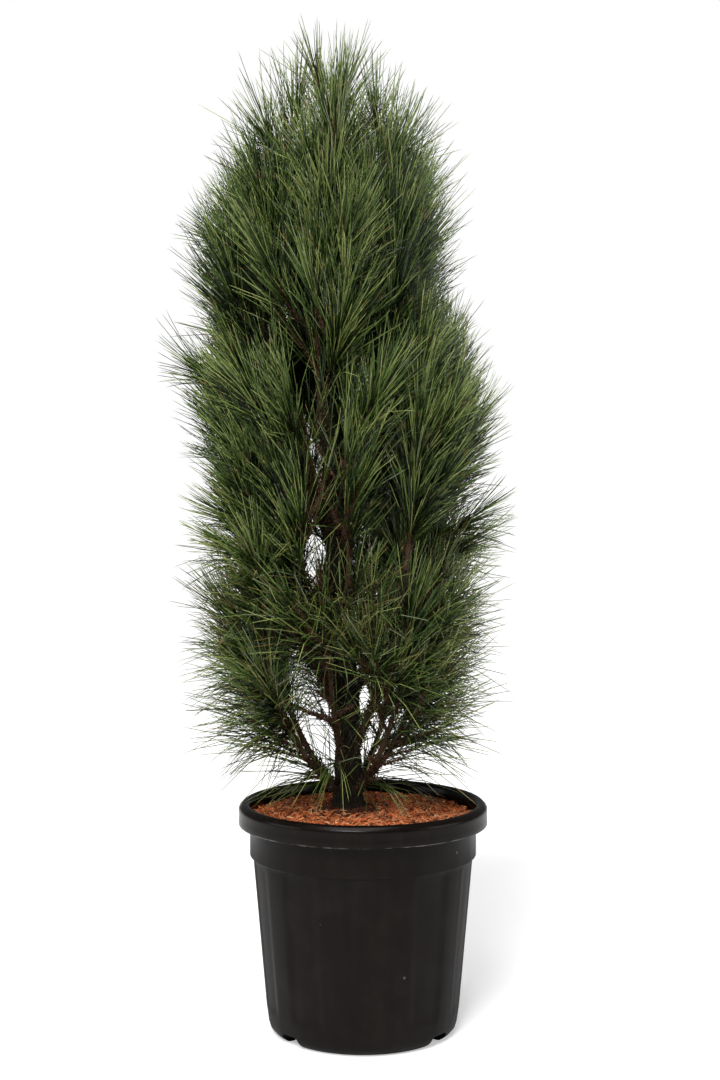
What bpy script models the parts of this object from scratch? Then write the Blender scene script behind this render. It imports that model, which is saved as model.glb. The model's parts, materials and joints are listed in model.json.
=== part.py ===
"""A black pine of upright, columnar habit, grown in a round nursery pot.

The pot stands on z = 0 with its axis on the origin. The view of the plant's front is
along +Y, with +X to the right, and azimuths are measured from +X towards +Y.
Run with: blender --background --python part.py
"""

import math
import random
from collections import namedtuple

import bmesh
import bpy
import numpy as np
from mathutils import Matrix, Vector

# Clearances, in metres as every size here
GAP = 0.0003  # between two solids that meet
AIR = 0.0015  # between a needle and anything of another solid

# Pot: a turned shell with a rolled lip, a plain band, a fluted body and a foot ring
POT_HEIGHT = 0.365
LIP_RADIUS = 0.200
LIP_DEPTH = 0.034
WALL = 0.003
BAND_RADIUS = 0.1822
BAND_BOTTOM = 0.280
BODY_TOP_RADIUS = 0.1762
BODY_FOOT_RADIUS = 0.1550
BODY_FOOT_HEIGHT = 0.042
CORNER_RADIUS = 0.1516
CORNER_HEIGHT = 0.018
FOOT_RADIUS = 0.134
FOOT_WIDTH = 0.010
BASE_RISE = 0.018  # the base is raised between the foot ring and the pad at its centre
PAD_RADIUS = 0.045
POT_SIDES = 36
FLUTES = 10
FLUTE_DEPTH = 0.0026
FLUTE_TOP = 0.268
FLUTE_BOTTOM = 0.050
FLUTE_FADE = 0.012
FRONT = -90  # azimuth of the pot's front, in degrees
FLUTE_TURN = 2  # of the first flute, to the right of the front
NOTCH_TURNS = (53.0, 181.5, -50.0)  # of each notch, to the right of the front
NOTCH_WIDTH = 0.040
NOTCH_HEIGHT = 0.0175
NOTCH_REACH = 0.040

# Potting mix: fills the pot, with a low mound of bark mulch
MIX_TOP = 0.351
MIX_EDGE = 0.345
MIX_FLAT_RADIUS = 0.075
MIX_SLACK = 0.0014  # between the mix's side and the pot's wall

# Trunk: upright at its foot, leaning left between two heights, upright again above
TRUNK_FOOT = MIX_TOP + GAP
TRUNK_TOP = 1.335
TRUNK_X = -0.024
LEAN = -0.026
LEAN_FROM, LEAN_TO = 0.42, 0.98
TRUNK_RADIUS = 0.0238
TRUNK_TIP_RADIUS = 0.0060
FLARE = 0.010
FLARE_HEIGHT = 0.014
TRUNK_RINGS = 14

# Leader: the trunk's last growth, above its woody tip
LEADER_TIP = 1.505

# Boughs: each rises from the trunk's foot and sweeps upright. The foliage starts at entry.
Bough = namedtuple("Bough", "name azimuth foot entry tip spread sweep girth")
BOUGHS = (
    Bough("low_left", 205, 0.366, 0.440, 0.760, 0.176, 2.6, 0.0092),
    Bough("low_front", 250, 0.400, 0.500, 0.740, 0.104, 2.4, 0.0070),
    Bough("low_right_front", 312, 0.366, 0.430, 0.690, 0.162, 2.2, 0.0076),
    Bough("low_right", 358, 0.366, 0.450, 0.800, 0.170, 2.4, 0.0088),
    Bough("low_back_right", 50, 0.366, 0.445, 0.770, 0.166, 2.4, 0.0080),
    Bough("low_back", 104, 0.372, 0.460, 0.780, 0.158, 2.4, 0.0075),
    Bough("low_back_left", 156, 0.366, 0.440, 0.760, 0.176, 2.4, 0.0080),
    Bough("mid_left", 182, 0.500, 0.700, 1.090, 0.198, 2.0, 0.0078),
    Bough("mid_left_front", 228, 0.470, 0.680, 1.040, 0.162, 2.3, 0.0080),
    Bough("mid_front", 274, 0.560, 0.720, 1.030, 0.130, 2.4, 0.0066),
    Bough("mid_right_front", 318, 0.420, 0.745, 1.090, 0.154, 2.4, 0.0085),
    Bough("mid_right", 6, 0.520, 0.710, 1.090, 0.174, 2.2, 0.0078),
    Bough("mid_back_right", 56, 0.500, 0.690, 1.080, 0.170, 2.3, 0.0078),
    Bough("mid_back", 98, 0.540, 0.700, 1.060, 0.158, 2.3, 0.0075),
    Bough("mid_back_left", 140, 0.510, 0.690, 1.080, 0.174, 2.3, 0.0078),
    Bough("high_front", 254, 0.760, 0.975, 1.270, 0.124, 2.3, 0.0064),
    Bough("high_left", 202, 0.770, 1.000, 1.370, 0.150, 2.3, 0.0065),
    Bough("high_right_front", 314, 0.750, 0.985, 1.340, 0.142, 2.3, 0.0065),
    Bough("high_right", 14, 0.780, 1.010, 1.390, 0.144, 2.3, 0.0062),
    Bough("high_back_right", 74, 0.790, 0.990, 1.350, 0.136, 2.3, 0.0062),
    Bough("high_back_left", 136, 0.780, 0.990, 1.360, 0.146, 2.3, 0.0062),
    Bough("top_left", 170, 1.070, 1.235, 1.485, 0.084, 2.2, 0.0052),
    Bough("top_front", 268, 1.060, 1.200, 1.455, 0.084, 2.2, 0.0052),
    Bough("top_right", 350, 1.080, 1.220, 1.465, 0.104, 2.0, 0.0052),
    Bough("top_back", 84, 1.070, 1.210, 1.450, 0.086, 2.2, 0.0052),
)
ENTRY_RADIUS = 0.0045
BOUGH_RINGS = 5

# Foliage: each mass is a stem in a dense core, with side shoots and needles
CORE_RADIUS = 0.030
CORE_RINGS = 5
CORE_BULGE = 0.8  # under 1 moves the core's widest place down
CORE_BLUNTNESS = 0.45  # under 1 makes its ends blunter
CORE_TIP_RADIUS = 0.006
CORE_CLEARANCE = 0.004
CORE_SHARE = 0.8  # of the room to the next mass that a core may fill
STRAIGHT_START = 0.012  # of a stem, in line with the end of its bough
SIDE_SHOOTS = 2
SHOOTS_FROM, SHOOTS_TO = 0.22, 0.67  # shares of the stem that they leave from
SHOOT_LENGTH = 0.115
SHOOT_BEND = 0.55  # share of its length where a shoot turns upright
SHOOT_RADIUS = 0.0085
SHOOT_TIP_RADIUS = 0.0050
SHOOT_LEAN = 55  # degrees from the stem
NEEDLE_LENGTH = 0.140
SHORTEST_SPRAY = 0.84  # of the needle length
NEEDLE_RADIUS = 0.0056  # each stands for a spray of needles
SPREAD_LOW, SPREAD_TIP = 84, 18  # degrees from the shoot, at its root and its tip
NEEDLE_LIFT = 0.18  # how far needles turn up to the light
NEEDLES_START = 0.07  # share of a stem or shoot below its lowest needles
STEM_NEEDLES = 32
SHOOT_NEEDLES = 7
NEEDLE_TRIES = 12
ANGLE_PLAY = 7  # degrees
TURN_PLAY = 0.3  # radians
GOLDEN_ANGLE = math.radians(137.508)
LIP_MARGIN = 0.030  # beside the lip, where needles stay above the pot
FIRST_SAMPLE = 0.12  # share of a needle's length from which its way is tested
SAMPLES = 12
SEED = 11


def clear_scene():
    """Remove whatever the file opened with."""
    for thing in list(bpy.data.objects):
        bpy.data.objects.remove(thing, do_unlink=True)


def collection_named(name):
    """A new collection in the scene."""
    made = bpy.data.collections.new(name)
    bpy.context.scene.collection.children.link(made)
    return made


def material_named(name, colour, roughness, metallic=0.0):
    """A Principled material of one colour."""
    material = bpy.data.materials.new(name)
    material.use_nodes = True
    shader = material.node_tree.nodes["Principled BSDF"]
    shader.inputs["Base Color"].default_value = (*colour, 1.0)
    shader.inputs["Roughness"].default_value = roughness
    shader.inputs["Metallic"].default_value = metallic
    return material


def mesh_from(source):
    """The evaluated mesh of an object, with its caps and seams welded. The object is removed."""
    graph = bpy.context.evaluated_depsgraph_get()
    mesh = bpy.data.meshes.new_from_object(source.evaluated_get(graph))
    mesh.name = source.name
    made = bmesh.new()
    made.from_mesh(mesh)
    bmesh.ops.remove_doubles(made, verts=made.verts, dist=1e-6)
    made.to_mesh(mesh)
    made.free()
    mesh.materials.clear()
    name, place = source.name, source.matrix_world.copy()
    homes = list(source.users_collection)
    bpy.data.objects.remove(source)
    solid = bpy.data.objects.new(name, mesh)
    solid.matrix_world = place
    for home in homes:
        home.objects.link(solid)
    return solid


def turned(name, profile, home):
    """A solid turned about Z. The profile goes from the axis up the inside and down the outside."""
    mesh = bpy.data.meshes.new(name)
    points = [(radius, 0.0, height) for radius, height in profile]
    mesh.from_pydata(points, [(i, i + 1) for i in range(len(points) - 1)], [])
    solid = bpy.data.objects.new(name, mesh)
    home.objects.link(solid)
    screw = solid.modifiers.new("Turn", "SCREW")
    screw.steps = screw.render_steps = POT_SIDES
    screw.use_merge_vertices = True
    screw.merge_threshold = 0.00001
    bpy.context.view_layer.update()
    return mesh_from(solid)


def tube(name, points, radii, home, resolution=1):
    """A tapering round limb through the points, as a mesh with welded caps."""
    curve = bpy.data.curves.new(name, "CURVE")
    curve.dimensions = "3D"
    curve.bevel_depth = 1.0
    curve.bevel_resolution = resolution
    curve.use_fill_caps = True
    spline = curve.splines.new("POLY")
    spline.points.add(len(points) - 1)
    for knot, point, radius in zip(spline.points, points, radii):
        knot.co = (*point, 1.0)
        knot.radius = radius
    limb = bpy.data.objects.new(name, curve)
    home.objects.link(limb)
    bpy.context.view_layer.update()
    return mesh_from(limb)


def ease(share):
    """A smooth step from 0 to 1."""
    share = min(1.0, max(0.0, share))
    return share * share * (3.0 - 2.0 * share)


def trunk_centre(height):
    """The trunk's centre at a height."""
    lean = LEAN * ease((height - LEAN_FROM) / (LEAN_TO - LEAN_FROM))
    return Vector((TRUNK_X + lean, 0.0, height))


def trunk_radius(height):
    """The trunk's radius at a height, with the root flare at its foot."""
    share = (height - TRUNK_FOOT) / (TRUNK_TOP - TRUNK_FOOT)
    taper = TRUNK_RADIUS + (TRUNK_TIP_RADIUS - TRUNK_RADIUS) * share**1.35
    return taper + FLARE * math.exp(-(height - TRUNK_FOOT) / FLARE_HEIGHT)


def bough_point(bough, share):
    """A point on a bough's line: share 0 is in the trunk, and 1 is the tip of its foliage's stem."""
    away = bough.spread * (1.0 - max(0.0, 1.0 - share) ** bough.sweep)
    turn = math.radians(bough.azimuth)
    foot = trunk_centre(bough.foot)
    rise = (bough.tip - bough.foot) * share
    return foot + Vector((away * math.cos(turn), away * math.sin(turn), rise))


def entry_share(bough):
    """Where along its line a bough enters its foliage."""
    return (bough.entry - bough.foot) / (bough.tip - bough.foot)


def line_between(place_at, start, end, count):
    """Evenly spaced points of a line that place_at gives."""
    return [place_at(start + (end - start) * i / (count - 1)) for i in range(count)]


def press_flutes(solid):
    """Press the shallow upright flutes into the pot's body, or into what fills it."""
    for vertex in solid.data.vertices:
        x, y, z = vertex.co
        radius = math.hypot(x, y)
        from_top = ease((FLUTE_TOP + FLUTE_FADE - z) / FLUTE_FADE)
        from_bottom = ease((z - FLUTE_BOTTOM + FLUTE_FADE) / FLUTE_FADE)
        full = min(from_top, from_bottom)
        if radius < FOOT_RADIUS or full <= 0.0:
            continue
        turn = math.atan2(y, x) - math.radians(FRONT + FLUTE_TURN)
        wave = 0.5 + 0.5 * math.cos(FLUTES * turn)
        scale = 1.0 - FLUTE_DEPTH * wave * full / radius
        vertex.co.x, vertex.co.y = x * scale, y * scale


def inner_profile():
    """The pot's inside from the floor's edge up to the lip, as radius and height."""
    return [
        (CORNER_RADIUS - 0.006, BASE_RISE + WALL),
        (BODY_FOOT_RADIUS - WALL, FLUTE_BOTTOM),
        (BODY_TOP_RADIUS - WALL, FLUTE_TOP),
        (BODY_TOP_RADIUS - WALL, BAND_BOTTOM),
        (BAND_RADIUS - WALL, BAND_BOTTOM + 0.010),
        (BAND_RADIUS - WALL + 0.0005, POT_HEIGHT - 0.012),
    ]


def make_pot(home, cutters, material):
    """The pot, with notches in its foot ring."""
    top = POT_HEIGHT
    profile = [(0.0, BASE_RISE + WALL), *inner_profile()]
    profile += [
        (LIP_RADIUS - 0.0165, top - 0.003),
        (LIP_RADIUS - 0.0125, top),
        (LIP_RADIUS - 0.0050, top - 0.001),
        (LIP_RADIUS - 0.0010, top - 0.006),
        (LIP_RADIUS, top - 0.014),
        (LIP_RADIUS - 0.0006, top - LIP_DEPTH + 0.003),
        (LIP_RADIUS - WALL, top - LIP_DEPTH),
        (LIP_RADIUS - WALL - 0.002, top - 0.014),
        (BAND_RADIUS, top - 0.013),
        (BAND_RADIUS - 0.0004, BAND_BOTTOM + 0.001),
        (BODY_TOP_RADIUS, BAND_BOTTOM - 0.002),
        (BODY_TOP_RADIUS - 0.0006, FLUTE_TOP),
        (BODY_FOOT_RADIUS + 0.0008, FLUTE_BOTTOM),
        (BODY_FOOT_RADIUS, BODY_FOOT_HEIGHT),
        (CORNER_RADIUS, CORNER_HEIGHT),
        (CORNER_RADIUS - 0.0060, 0.006),
        (FOOT_RADIUS, 0.0),
        (FOOT_RADIUS - FOOT_WIDTH, 0.0),
        (FOOT_RADIUS - FOOT_WIDTH - 0.001, BASE_RISE),
        (PAD_RADIUS + 0.001, BASE_RISE),
        (PAD_RADIUS, 0.0),
        (0.0, 0.0),
    ]
    pot = turned("pot", profile, home)
    press_flutes(pot)
    for number, turn in enumerate(NOTCH_TURNS):
        cutter = notch_cutter(f"notch_cutter_{number}", FRONT + turn, cutters)
        cut = pot.modifiers.new(f"Notch {number}", "BOOLEAN")
        cut.operation = "DIFFERENCE"
        cut.object = cutter
    pot.data.materials.append(material)
    pot.data.shade_smooth()
    pot.data.set_sharp_from_angle(angle=math.radians(35))
    return pot


def notch_cutter(name, azimuth, cutters):
    """A block with rounded top edges that takes one notch out of the foot ring."""
    mesh = bpy.data.meshes.new(name)
    made = bmesh.new()
    bmesh.ops.create_cube(made, size=1.0)
    height = 2.0 * NOTCH_HEIGHT
    bmesh.ops.scale(made, vec=(NOTCH_REACH, NOTCH_WIDTH, height), verts=made.verts)
    top = [
        edge
        for edge in made.edges
        if all(v.co.z > 0 for v in edge.verts) and abs(edge.verts[0].co.y - edge.verts[1].co.y) < 1e-6
    ]
    bmesh.ops.bevel(made, geom=top, offset=0.006, segments=2, profile=0.5, affect="EDGES")
    made.to_mesh(mesh)
    made.free()
    cutter = bpy.data.objects.new(name, mesh)
    turn = math.radians(azimuth)
    middle = FOOT_RADIUS + 0.5 * NOTCH_REACH - FOOT_WIDTH - 0.006
    cutter.location = (middle * math.cos(turn), middle * math.sin(turn), 0.0)
    cutter.rotation_euler = (0.0, 0.0, turn)
    cutter.hide_render = True
    cutter.display_type = "WIRE"
    cutters.objects.link(cutter)
    return cutter


def make_potting_mix(home, material):
    """The root ball's potting mix and its mound of bark mulch, clear of the pot all round."""
    inside = inner_profile()
    floor = inside[0][1] + GAP
    profile = [(0.0, MIX_TOP), (MIX_FLAT_RADIUS, MIX_TOP), (BAND_RADIUS - WALL - MIX_SLACK, MIX_EDGE)]
    profile += [(radius - MIX_SLACK, height) for radius, height in reversed(inside[1:-1])]
    profile += [(inside[0][0] - MIX_SLACK, floor), (0.0, floor)]
    mix = turned("potting_mix", profile, home)
    press_flutes(mix)
    mix.data.materials.append(material)
    mix.data.shade_smooth()
    mix.data.set_sharp_from_angle(angle=math.radians(35))
    return mix


def trunk_line(swell=0.0):
    """The points and radii of the trunk, or of a copy that is swell thicker all round."""
    heights = [TRUNK_FOOT, TRUNK_FOOT + 0.006, TRUNK_FOOT + 0.018, TRUNK_FOOT + 0.040]
    rest = TRUNK_RINGS - len(heights)
    heights += [heights[-1] + (TRUNK_TOP - heights[-1]) * (i + 1) / rest for i in range(rest)]
    points = [trunk_centre(height) for height in heights]
    return points, [trunk_radius(height) + swell for height in heights]


def make_trunk(home, material):
    """The trunk, from a flat cut on the potting mix to its woody tip."""
    points, radii = trunk_line()
    trunk = tube("trunk", points, radii, home, resolution=3)
    trunk.data.materials.append(material)
    trunk.data.shade_smooth()
    return trunk


def trunk_cutter(cutters):
    """A copy of the trunk, a gap thicker, that shapes the boughs' feet."""
    points, radii = trunk_line(swell=GAP)
    cutter = tube("trunk_cutter", points, radii, cutters, resolution=3)
    cutter.hide_render = True
    cutter.display_type = "WIRE"
    return cutter


def make_bough(bough, cutter, home, material):
    """One bough, from its saddle on the trunk to where it enters its foliage."""
    points = bough_line(bough)
    radii = [
        bough.girth + (ENTRY_RADIUS - bough.girth) * (i / (BOUGH_RINGS - 1)) ** 0.8
        for i in range(BOUGH_RINGS)
    ]
    limb = tube(f"bough_{bough.name}", points, radii, home)
    cut = limb.modifiers.new("Saddle on the trunk", "BOOLEAN")
    cut.operation = "DIFFERENCE"
    cut.object = cutter
    limb.data.materials.append(material)
    limb.data.shade_smooth()
    return limb


def bough_line(bough):
    """The points of a bough, from inside the trunk to where it enters its foliage."""
    return line_between(lambda s: bough_point(bough, s), 0.0, entry_share(bough), BOUGH_RINGS)


def stem_of(bough):
    """The line of the foliage's stem. It leaves its bough's end straight, a gap clear of it."""
    before, end = bough_line(bough)[-2:]
    ahead = (end - before).normalized()
    rest = line_between(lambda s: bough_point(bough, s), entry_share(bough), 1.0, CORE_RINGS + 1)
    return [end + ahead * GAP, end + ahead * STRAIGHT_START, *rest[1:]]


def leader_stem():
    """The line of the leader, which goes on from the trunk's tip."""
    foot = trunk_centre(TRUNK_TOP) + Vector((0.0, 0.0, GAP))
    tip = Vector((foot.x, foot.y, LEADER_TIP))
    rest = line_between(lambda s: foot.lerp(tip, s), 0.0, 1.0, CORE_RINGS + 1)
    return [foot, foot + Vector((0.0, 0.0, STRAIGHT_START)), *rest[1:]]


def distances(points, line):
    """The distance from each point to the nearest place on a line, by numpy."""
    points = np.asarray(points, float)[:, None, :]
    line = np.asarray(line, float)
    start, span = line[None, :-1], (line[1:] - line[:-1])[None]
    share = ((points - start) * span).sum(-1) / (span * span).sum(-1)
    nearest = start + np.clip(share, 0.0, 1.0)[..., None] * span
    return np.linalg.norm(points - nearest, axis=-1).min(axis=1)


class Space:
    """What stands in the crown, so that each mass keeps to its own space."""

    def __init__(self, stems):
        self.stems = stems
        self.limbs = {"leader": ([tuple(p) for p in trunk_line()[0]], TRUNK_RADIUS)}
        for bough in BOUGHS:
            self.limbs[bough.name] = ([tuple(p) for p in bough_line(bough)], bough.girth)

    def from_limbs(self, points, leave_out=None):
        """The distance of each point from the trunk and boughs, apart from one that is left out."""
        room = np.full(len(points), 1.0)
        for name, (limb, radius) in self.limbs.items():
            if name != leave_out:
                room = np.minimum(room, distances(points, limb) - radius)
        return room

    def from_masses(self, points, mine):
        """How far each point is inside the mass's own space, between the stems."""
        own = distances(points, self.stems[mine])
        room = np.full(len(points), 1.0)
        for name, stem in self.stems.items():
            if name != mine:
                room = np.minimum(room, 0.5 * (distances(points, stem) - own))
        return room

    def room(self, points, mine):
        """The least distance of each point from limbs, other masses, pot and mulch."""
        points = np.asarray(points, float)
        over_lip = abs(np.hypot(points[:, 0], points[:, 1]) - LIP_RADIUS) < LIP_MARGIN
        height = points[:, 2] - np.where(over_lip, POT_HEIGHT, MIX_TOP)
        return np.minimum(np.minimum(self.from_limbs(points), self.from_masses(points, mine)), height)


def place_on(line, share):
    """The place at a share of a line's points, and the line's direction there."""
    place = share * (len(line) - 1)
    below = min(int(place), len(line) - 2)
    direction = (line[below + 1] - line[below]).normalized()
    return line[below].lerp(line[below + 1], place - below), direction


def around(direction, spread, turn):
    """A unit vector at an angle to direction, turned about it."""
    side = direction.cross(Vector((0.0, 1.0, 0.0)))
    if side.length < 0.05:
        side = direction.cross(Vector((1.0, 0.0, 0.0)))
    side.normalize()
    side.rotate(Matrix.Rotation(turn, 3, direction))
    return (direction * math.cos(spread) + side * math.sin(spread)).normalized()


def side_shoots(stem, outward, draw):
    """The side shoots' lines: they leave the stem on either side of outward and turn upright."""
    shoots = []
    for number in range(SIDE_SHOOTS):
        share = SHOOTS_FROM + (SHOOTS_TO - SHOOTS_FROM) * (number + 0.5) / SIDE_SHOOTS
        root, direction = place_on(stem, share)
        turn = outward + (number - 0.5) * GOLDEN_ANGLE + draw.uniform(-TURN_PLAY, TURN_PLAY)
        lean = math.radians(SHOOT_LEAN + draw.uniform(-ANGLE_PLAY, ANGLE_PLAY))
        flat = Vector((math.cos(turn), math.sin(turn), 0.0))
        first = (direction * math.cos(lean) + flat * math.sin(lean)).normalized()
        length = SHOOT_LENGTH * draw.uniform(0.85, 1.1)
        bend = root + first * length * SHOOT_BEND
        upright = (first + Vector((0.0, 0.0, 1.0))).normalized()
        shoots.append([root, bend, bend + upright * length * (1.0 - SHOOT_BEND)])
    return shoots


def needle_sprays(line, count, draw):
    """Roots, directions and lengths of needle sprays up a shoot, by the golden angle."""
    sprays = []
    first_turn = draw.uniform(0.0, 2.0 * math.pi)
    for number in range(count):
        share = NEEDLES_START + (1.0 - NEEDLES_START) * (number + 0.5) / count
        root, along = place_on(line, share)
        spread = SPREAD_LOW + (SPREAD_TIP - SPREAD_LOW) * share
        spread = math.radians(spread + draw.uniform(-ANGLE_PLAY, ANGLE_PLAY))
        turn = first_turn + number * GOLDEN_ANGLE + draw.uniform(-TURN_PLAY, TURN_PLAY)
        direction = around(along, spread, turn) + Vector((0.0, 0.0, NEEDLE_LIFT))
        length = NEEDLE_LENGTH * draw.uniform(SHORTEST_SPRAY, 1.0)
        sprays.append((root, direction.normalized(), length))
    return sprays


def needle_mesh():
    """One needle spray: a slender three-sided spike of unit length along Z."""
    mesh = bpy.data.meshes.new("needle")
    made = bmesh.new()
    place = Matrix.Translation((0.0, 0.0, 0.5))
    bmesh.ops.create_cone(
        made,
        cap_ends=True,
        segments=3,
        radius1=NEEDLE_RADIUS,
        radius2=0.0,
        depth=1.0,
        matrix=place,
    )
    made.to_mesh(mesh)
    made.free()
    return mesh


def core_radii(stem, name, space):
    """The dense core's radius at each ring, held back where another solid is near."""
    points = [tuple(p) for p in stem]
    masses = space.from_masses(points, name)
    limbs = space.from_limbs(points, leave_out=name)
    radii = [ENTRY_RADIUS]
    for ring in range(1, len(stem) - 1):
        share = ring / (len(stem) - 1)
        full = CORE_RADIUS * math.sin(math.pi * share**CORE_BULGE) ** CORE_BLUNTNESS
        free = min(limbs[ring], CORE_SHARE * masses[ring]) - CORE_CLEARANCE
        radii.append(max(CORE_TIP_RADIUS, min(full, free)))
    radii.append(CORE_TIP_RADIUS)
    return radii


def fits(root, direction, length, name, space, clearance):
    """Whether a straight needle or shoot stays in the mass's own space."""
    steps = [FIRST_SAMPLE + (1.0 - FIRST_SAMPLE) * i / (SAMPLES - 1) for i in range(SAMPLES)]
    points = [tuple(root + direction * length * step) for step in steps]
    return space.room(points, name).min() > clearance


def chosen_sprays(line, wanted, draw, name, space):
    """Sprays that keep to the mass's own space, drawn again where one would leave it."""
    chosen = []
    upright = Vector((0.0, 0.0, 1.0))
    for root, direction, length in needle_sprays(line, wanted, draw):
        for _ in range(NEEDLE_TRIES):
            if fits(root, direction, length, name, space, NEEDLE_RADIUS + AIR):
                chosen.append((root, direction, length))
                break
            direction = Matrix.Rotation(draw.uniform(0.4, 1.2), 3, upright) @ direction
            direction = (direction + upright * draw.uniform(-0.15, 0.2)).normalized()
    return chosen


def make_mass(name, stem, outward, number, space, spike, home, material):
    """One mass of foliage: stem and core, side shoots and needles, all fused."""
    draw = random.Random(SEED * 1000 + number)
    parts = collection_named(f"{name}_pieces")
    core = tube(f"foliage_{name}", stem, core_radii(stem, name, space), home)
    lines = [stem]
    for count, line in enumerate(side_shoots(stem, outward, draw)):
        span = line[-1] - line[0]
        if not fits(line[0], span.normalized(), span.length, name, space, SHOOT_RADIUS + AIR):
            continue
        radii = [SHOOT_RADIUS, SHOOT_RADIUS, SHOOT_TIP_RADIUS]
        tube(f"{name}_shoot_{count}", line, radii, parts, resolution=0)
        lines.append(line)
    for place, line in enumerate(lines):
        wanted = SHOOT_NEEDLES if place else STEM_NEEDLES
        for root, direction, length in chosen_sprays(line, wanted, draw, name, space):
            spray = bpy.data.objects.new(f"{name}_spray", spike)
            parts.objects.link(spray)
            turned_to = direction.to_track_quat("Z", "Y")
            spray.matrix_world = Matrix.LocRotScale(root, turned_to, Vector((1.0, 1.0, length)))
    fuse(core, parts)
    core.data.materials.append(material)
    return core


def fuse(core, parts):
    """Join a mass's pieces to its core by one union, and drop any loose scrap."""
    union = core.modifiers.new("Fuse", "BOOLEAN")
    union.operation = "UNION"
    union.operand_type = "COLLECTION"
    union.collection = parts
    union.solver = "MANIFOLD"
    bpy.context.view_layer.update()
    graph = bpy.context.evaluated_depsgraph_get()
    mesh = bpy.data.meshes.new_from_object(core.evaluated_get(graph))
    core.modifiers.clear()
    core.data = mesh
    for piece in list(parts.objects):
        bpy.data.objects.remove(piece, do_unlink=True)
    bpy.data.collections.remove(parts)
    keep_largest(mesh)


def keep_largest(mesh):
    """Leave only the mesh's largest connected body."""
    made = bmesh.new()
    made.from_mesh(mesh)
    islands, seen = [], set()
    for start in made.verts:
        if start in seen:
            continue
        island, front = [], [start]
        seen.add(start)
        while front:
            vertex = front.pop()
            island.append(vertex)
            for edge in vertex.link_edges:
                other = edge.other_vert(vertex)
                if other not in seen:
                    seen.add(other)
                    front.append(other)
        islands.append(island)
    islands.sort(key=len)
    for scrap in islands[:-1]:
        bmesh.ops.delete(made, geom=scrap, context="VERTS")
    made.to_mesh(mesh)
    made.free()


def main():
    """Build the pine and its pot."""
    clear_scene()
    home = collection_named("black pine")
    cutters = collection_named("cutters")
    plastic = material_named("pot plastic", (0.020, 0.020, 0.021), 0.42)
    mulch = material_named("bark mulch", (0.34, 0.12, 0.045), 0.9)
    bark = material_named("bark", (0.055, 0.038, 0.026), 0.85)
    green = material_named("pine needles", (0.050, 0.105, 0.030), 0.55)
    make_pot(home, cutters, plastic)
    make_potting_mix(home, mulch)
    make_trunk(home, bark)
    cutter = trunk_cutter(cutters)
    for bough in BOUGHS:
        make_bough(bough, cutter, home, bark)
    stems = {bough.name: stem_of(bough) for bough in BOUGHS}
    stems["leader"] = leader_stem()
    space = Space({name: [tuple(p) for p in line] for name, line in stems.items()})
    spike = needle_mesh()
    turns = {bough.name: math.radians(bough.azimuth) for bough in BOUGHS}
    for number, (name, stem) in enumerate(stems.items()):
        outward = turns.get(name, 0.0)
        make_mass(name, stem, outward, number, space, spike, home, green)


main()
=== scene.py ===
"""The looks of an upright, columnar pine in a nursery pot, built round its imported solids.

The file is laid out as an add-on: each operator makes one piece or one group of like pieces,
and the panel lists them. Run as a script, main calls the operators in order.
Sizes are in metres. Azimuths are in degrees, from +X towards +Y, and the front is -Y.
"""

import json
import math
from collections import namedtuple

import bmesh
import bpy
import numpy as np
from bpy.props import FloatProperty, FloatVectorProperty, IntProperty, PointerProperty
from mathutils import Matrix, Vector, noise

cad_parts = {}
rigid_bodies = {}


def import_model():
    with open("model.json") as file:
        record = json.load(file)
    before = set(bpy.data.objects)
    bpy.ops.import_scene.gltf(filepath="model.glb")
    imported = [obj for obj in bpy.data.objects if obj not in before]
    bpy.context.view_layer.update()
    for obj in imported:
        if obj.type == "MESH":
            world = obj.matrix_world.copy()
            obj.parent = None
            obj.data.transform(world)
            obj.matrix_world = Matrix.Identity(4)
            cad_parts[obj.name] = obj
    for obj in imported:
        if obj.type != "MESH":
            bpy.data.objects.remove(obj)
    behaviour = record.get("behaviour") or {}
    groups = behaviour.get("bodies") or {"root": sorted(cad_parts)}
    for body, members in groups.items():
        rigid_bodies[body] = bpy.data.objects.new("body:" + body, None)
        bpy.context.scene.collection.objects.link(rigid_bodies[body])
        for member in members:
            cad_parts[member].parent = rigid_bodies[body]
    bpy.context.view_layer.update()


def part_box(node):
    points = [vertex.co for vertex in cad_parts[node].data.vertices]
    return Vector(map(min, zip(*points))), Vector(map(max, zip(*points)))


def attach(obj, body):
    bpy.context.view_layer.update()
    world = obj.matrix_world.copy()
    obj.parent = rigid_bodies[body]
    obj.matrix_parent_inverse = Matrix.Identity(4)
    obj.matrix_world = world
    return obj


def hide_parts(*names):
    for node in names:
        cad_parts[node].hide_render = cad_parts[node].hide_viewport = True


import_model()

bl_info = {
    "name": "Columnar pine in a pot",
    "version": (1, 0, 0),
    "blender": (4, 5, 0),
    "location": "3D View > Sidebar > Pine",
    "description": "Grows a columnar pine with long needles, in a nursery pot with bark mulch",
    "category": "Add Mesh",
}

BODY = "root"
POT_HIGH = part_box("pot")[1]
MIX_LOW, MIX_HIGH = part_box("potting_mix")
TRUNK_LOW, TRUNK_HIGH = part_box("trunk")

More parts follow.
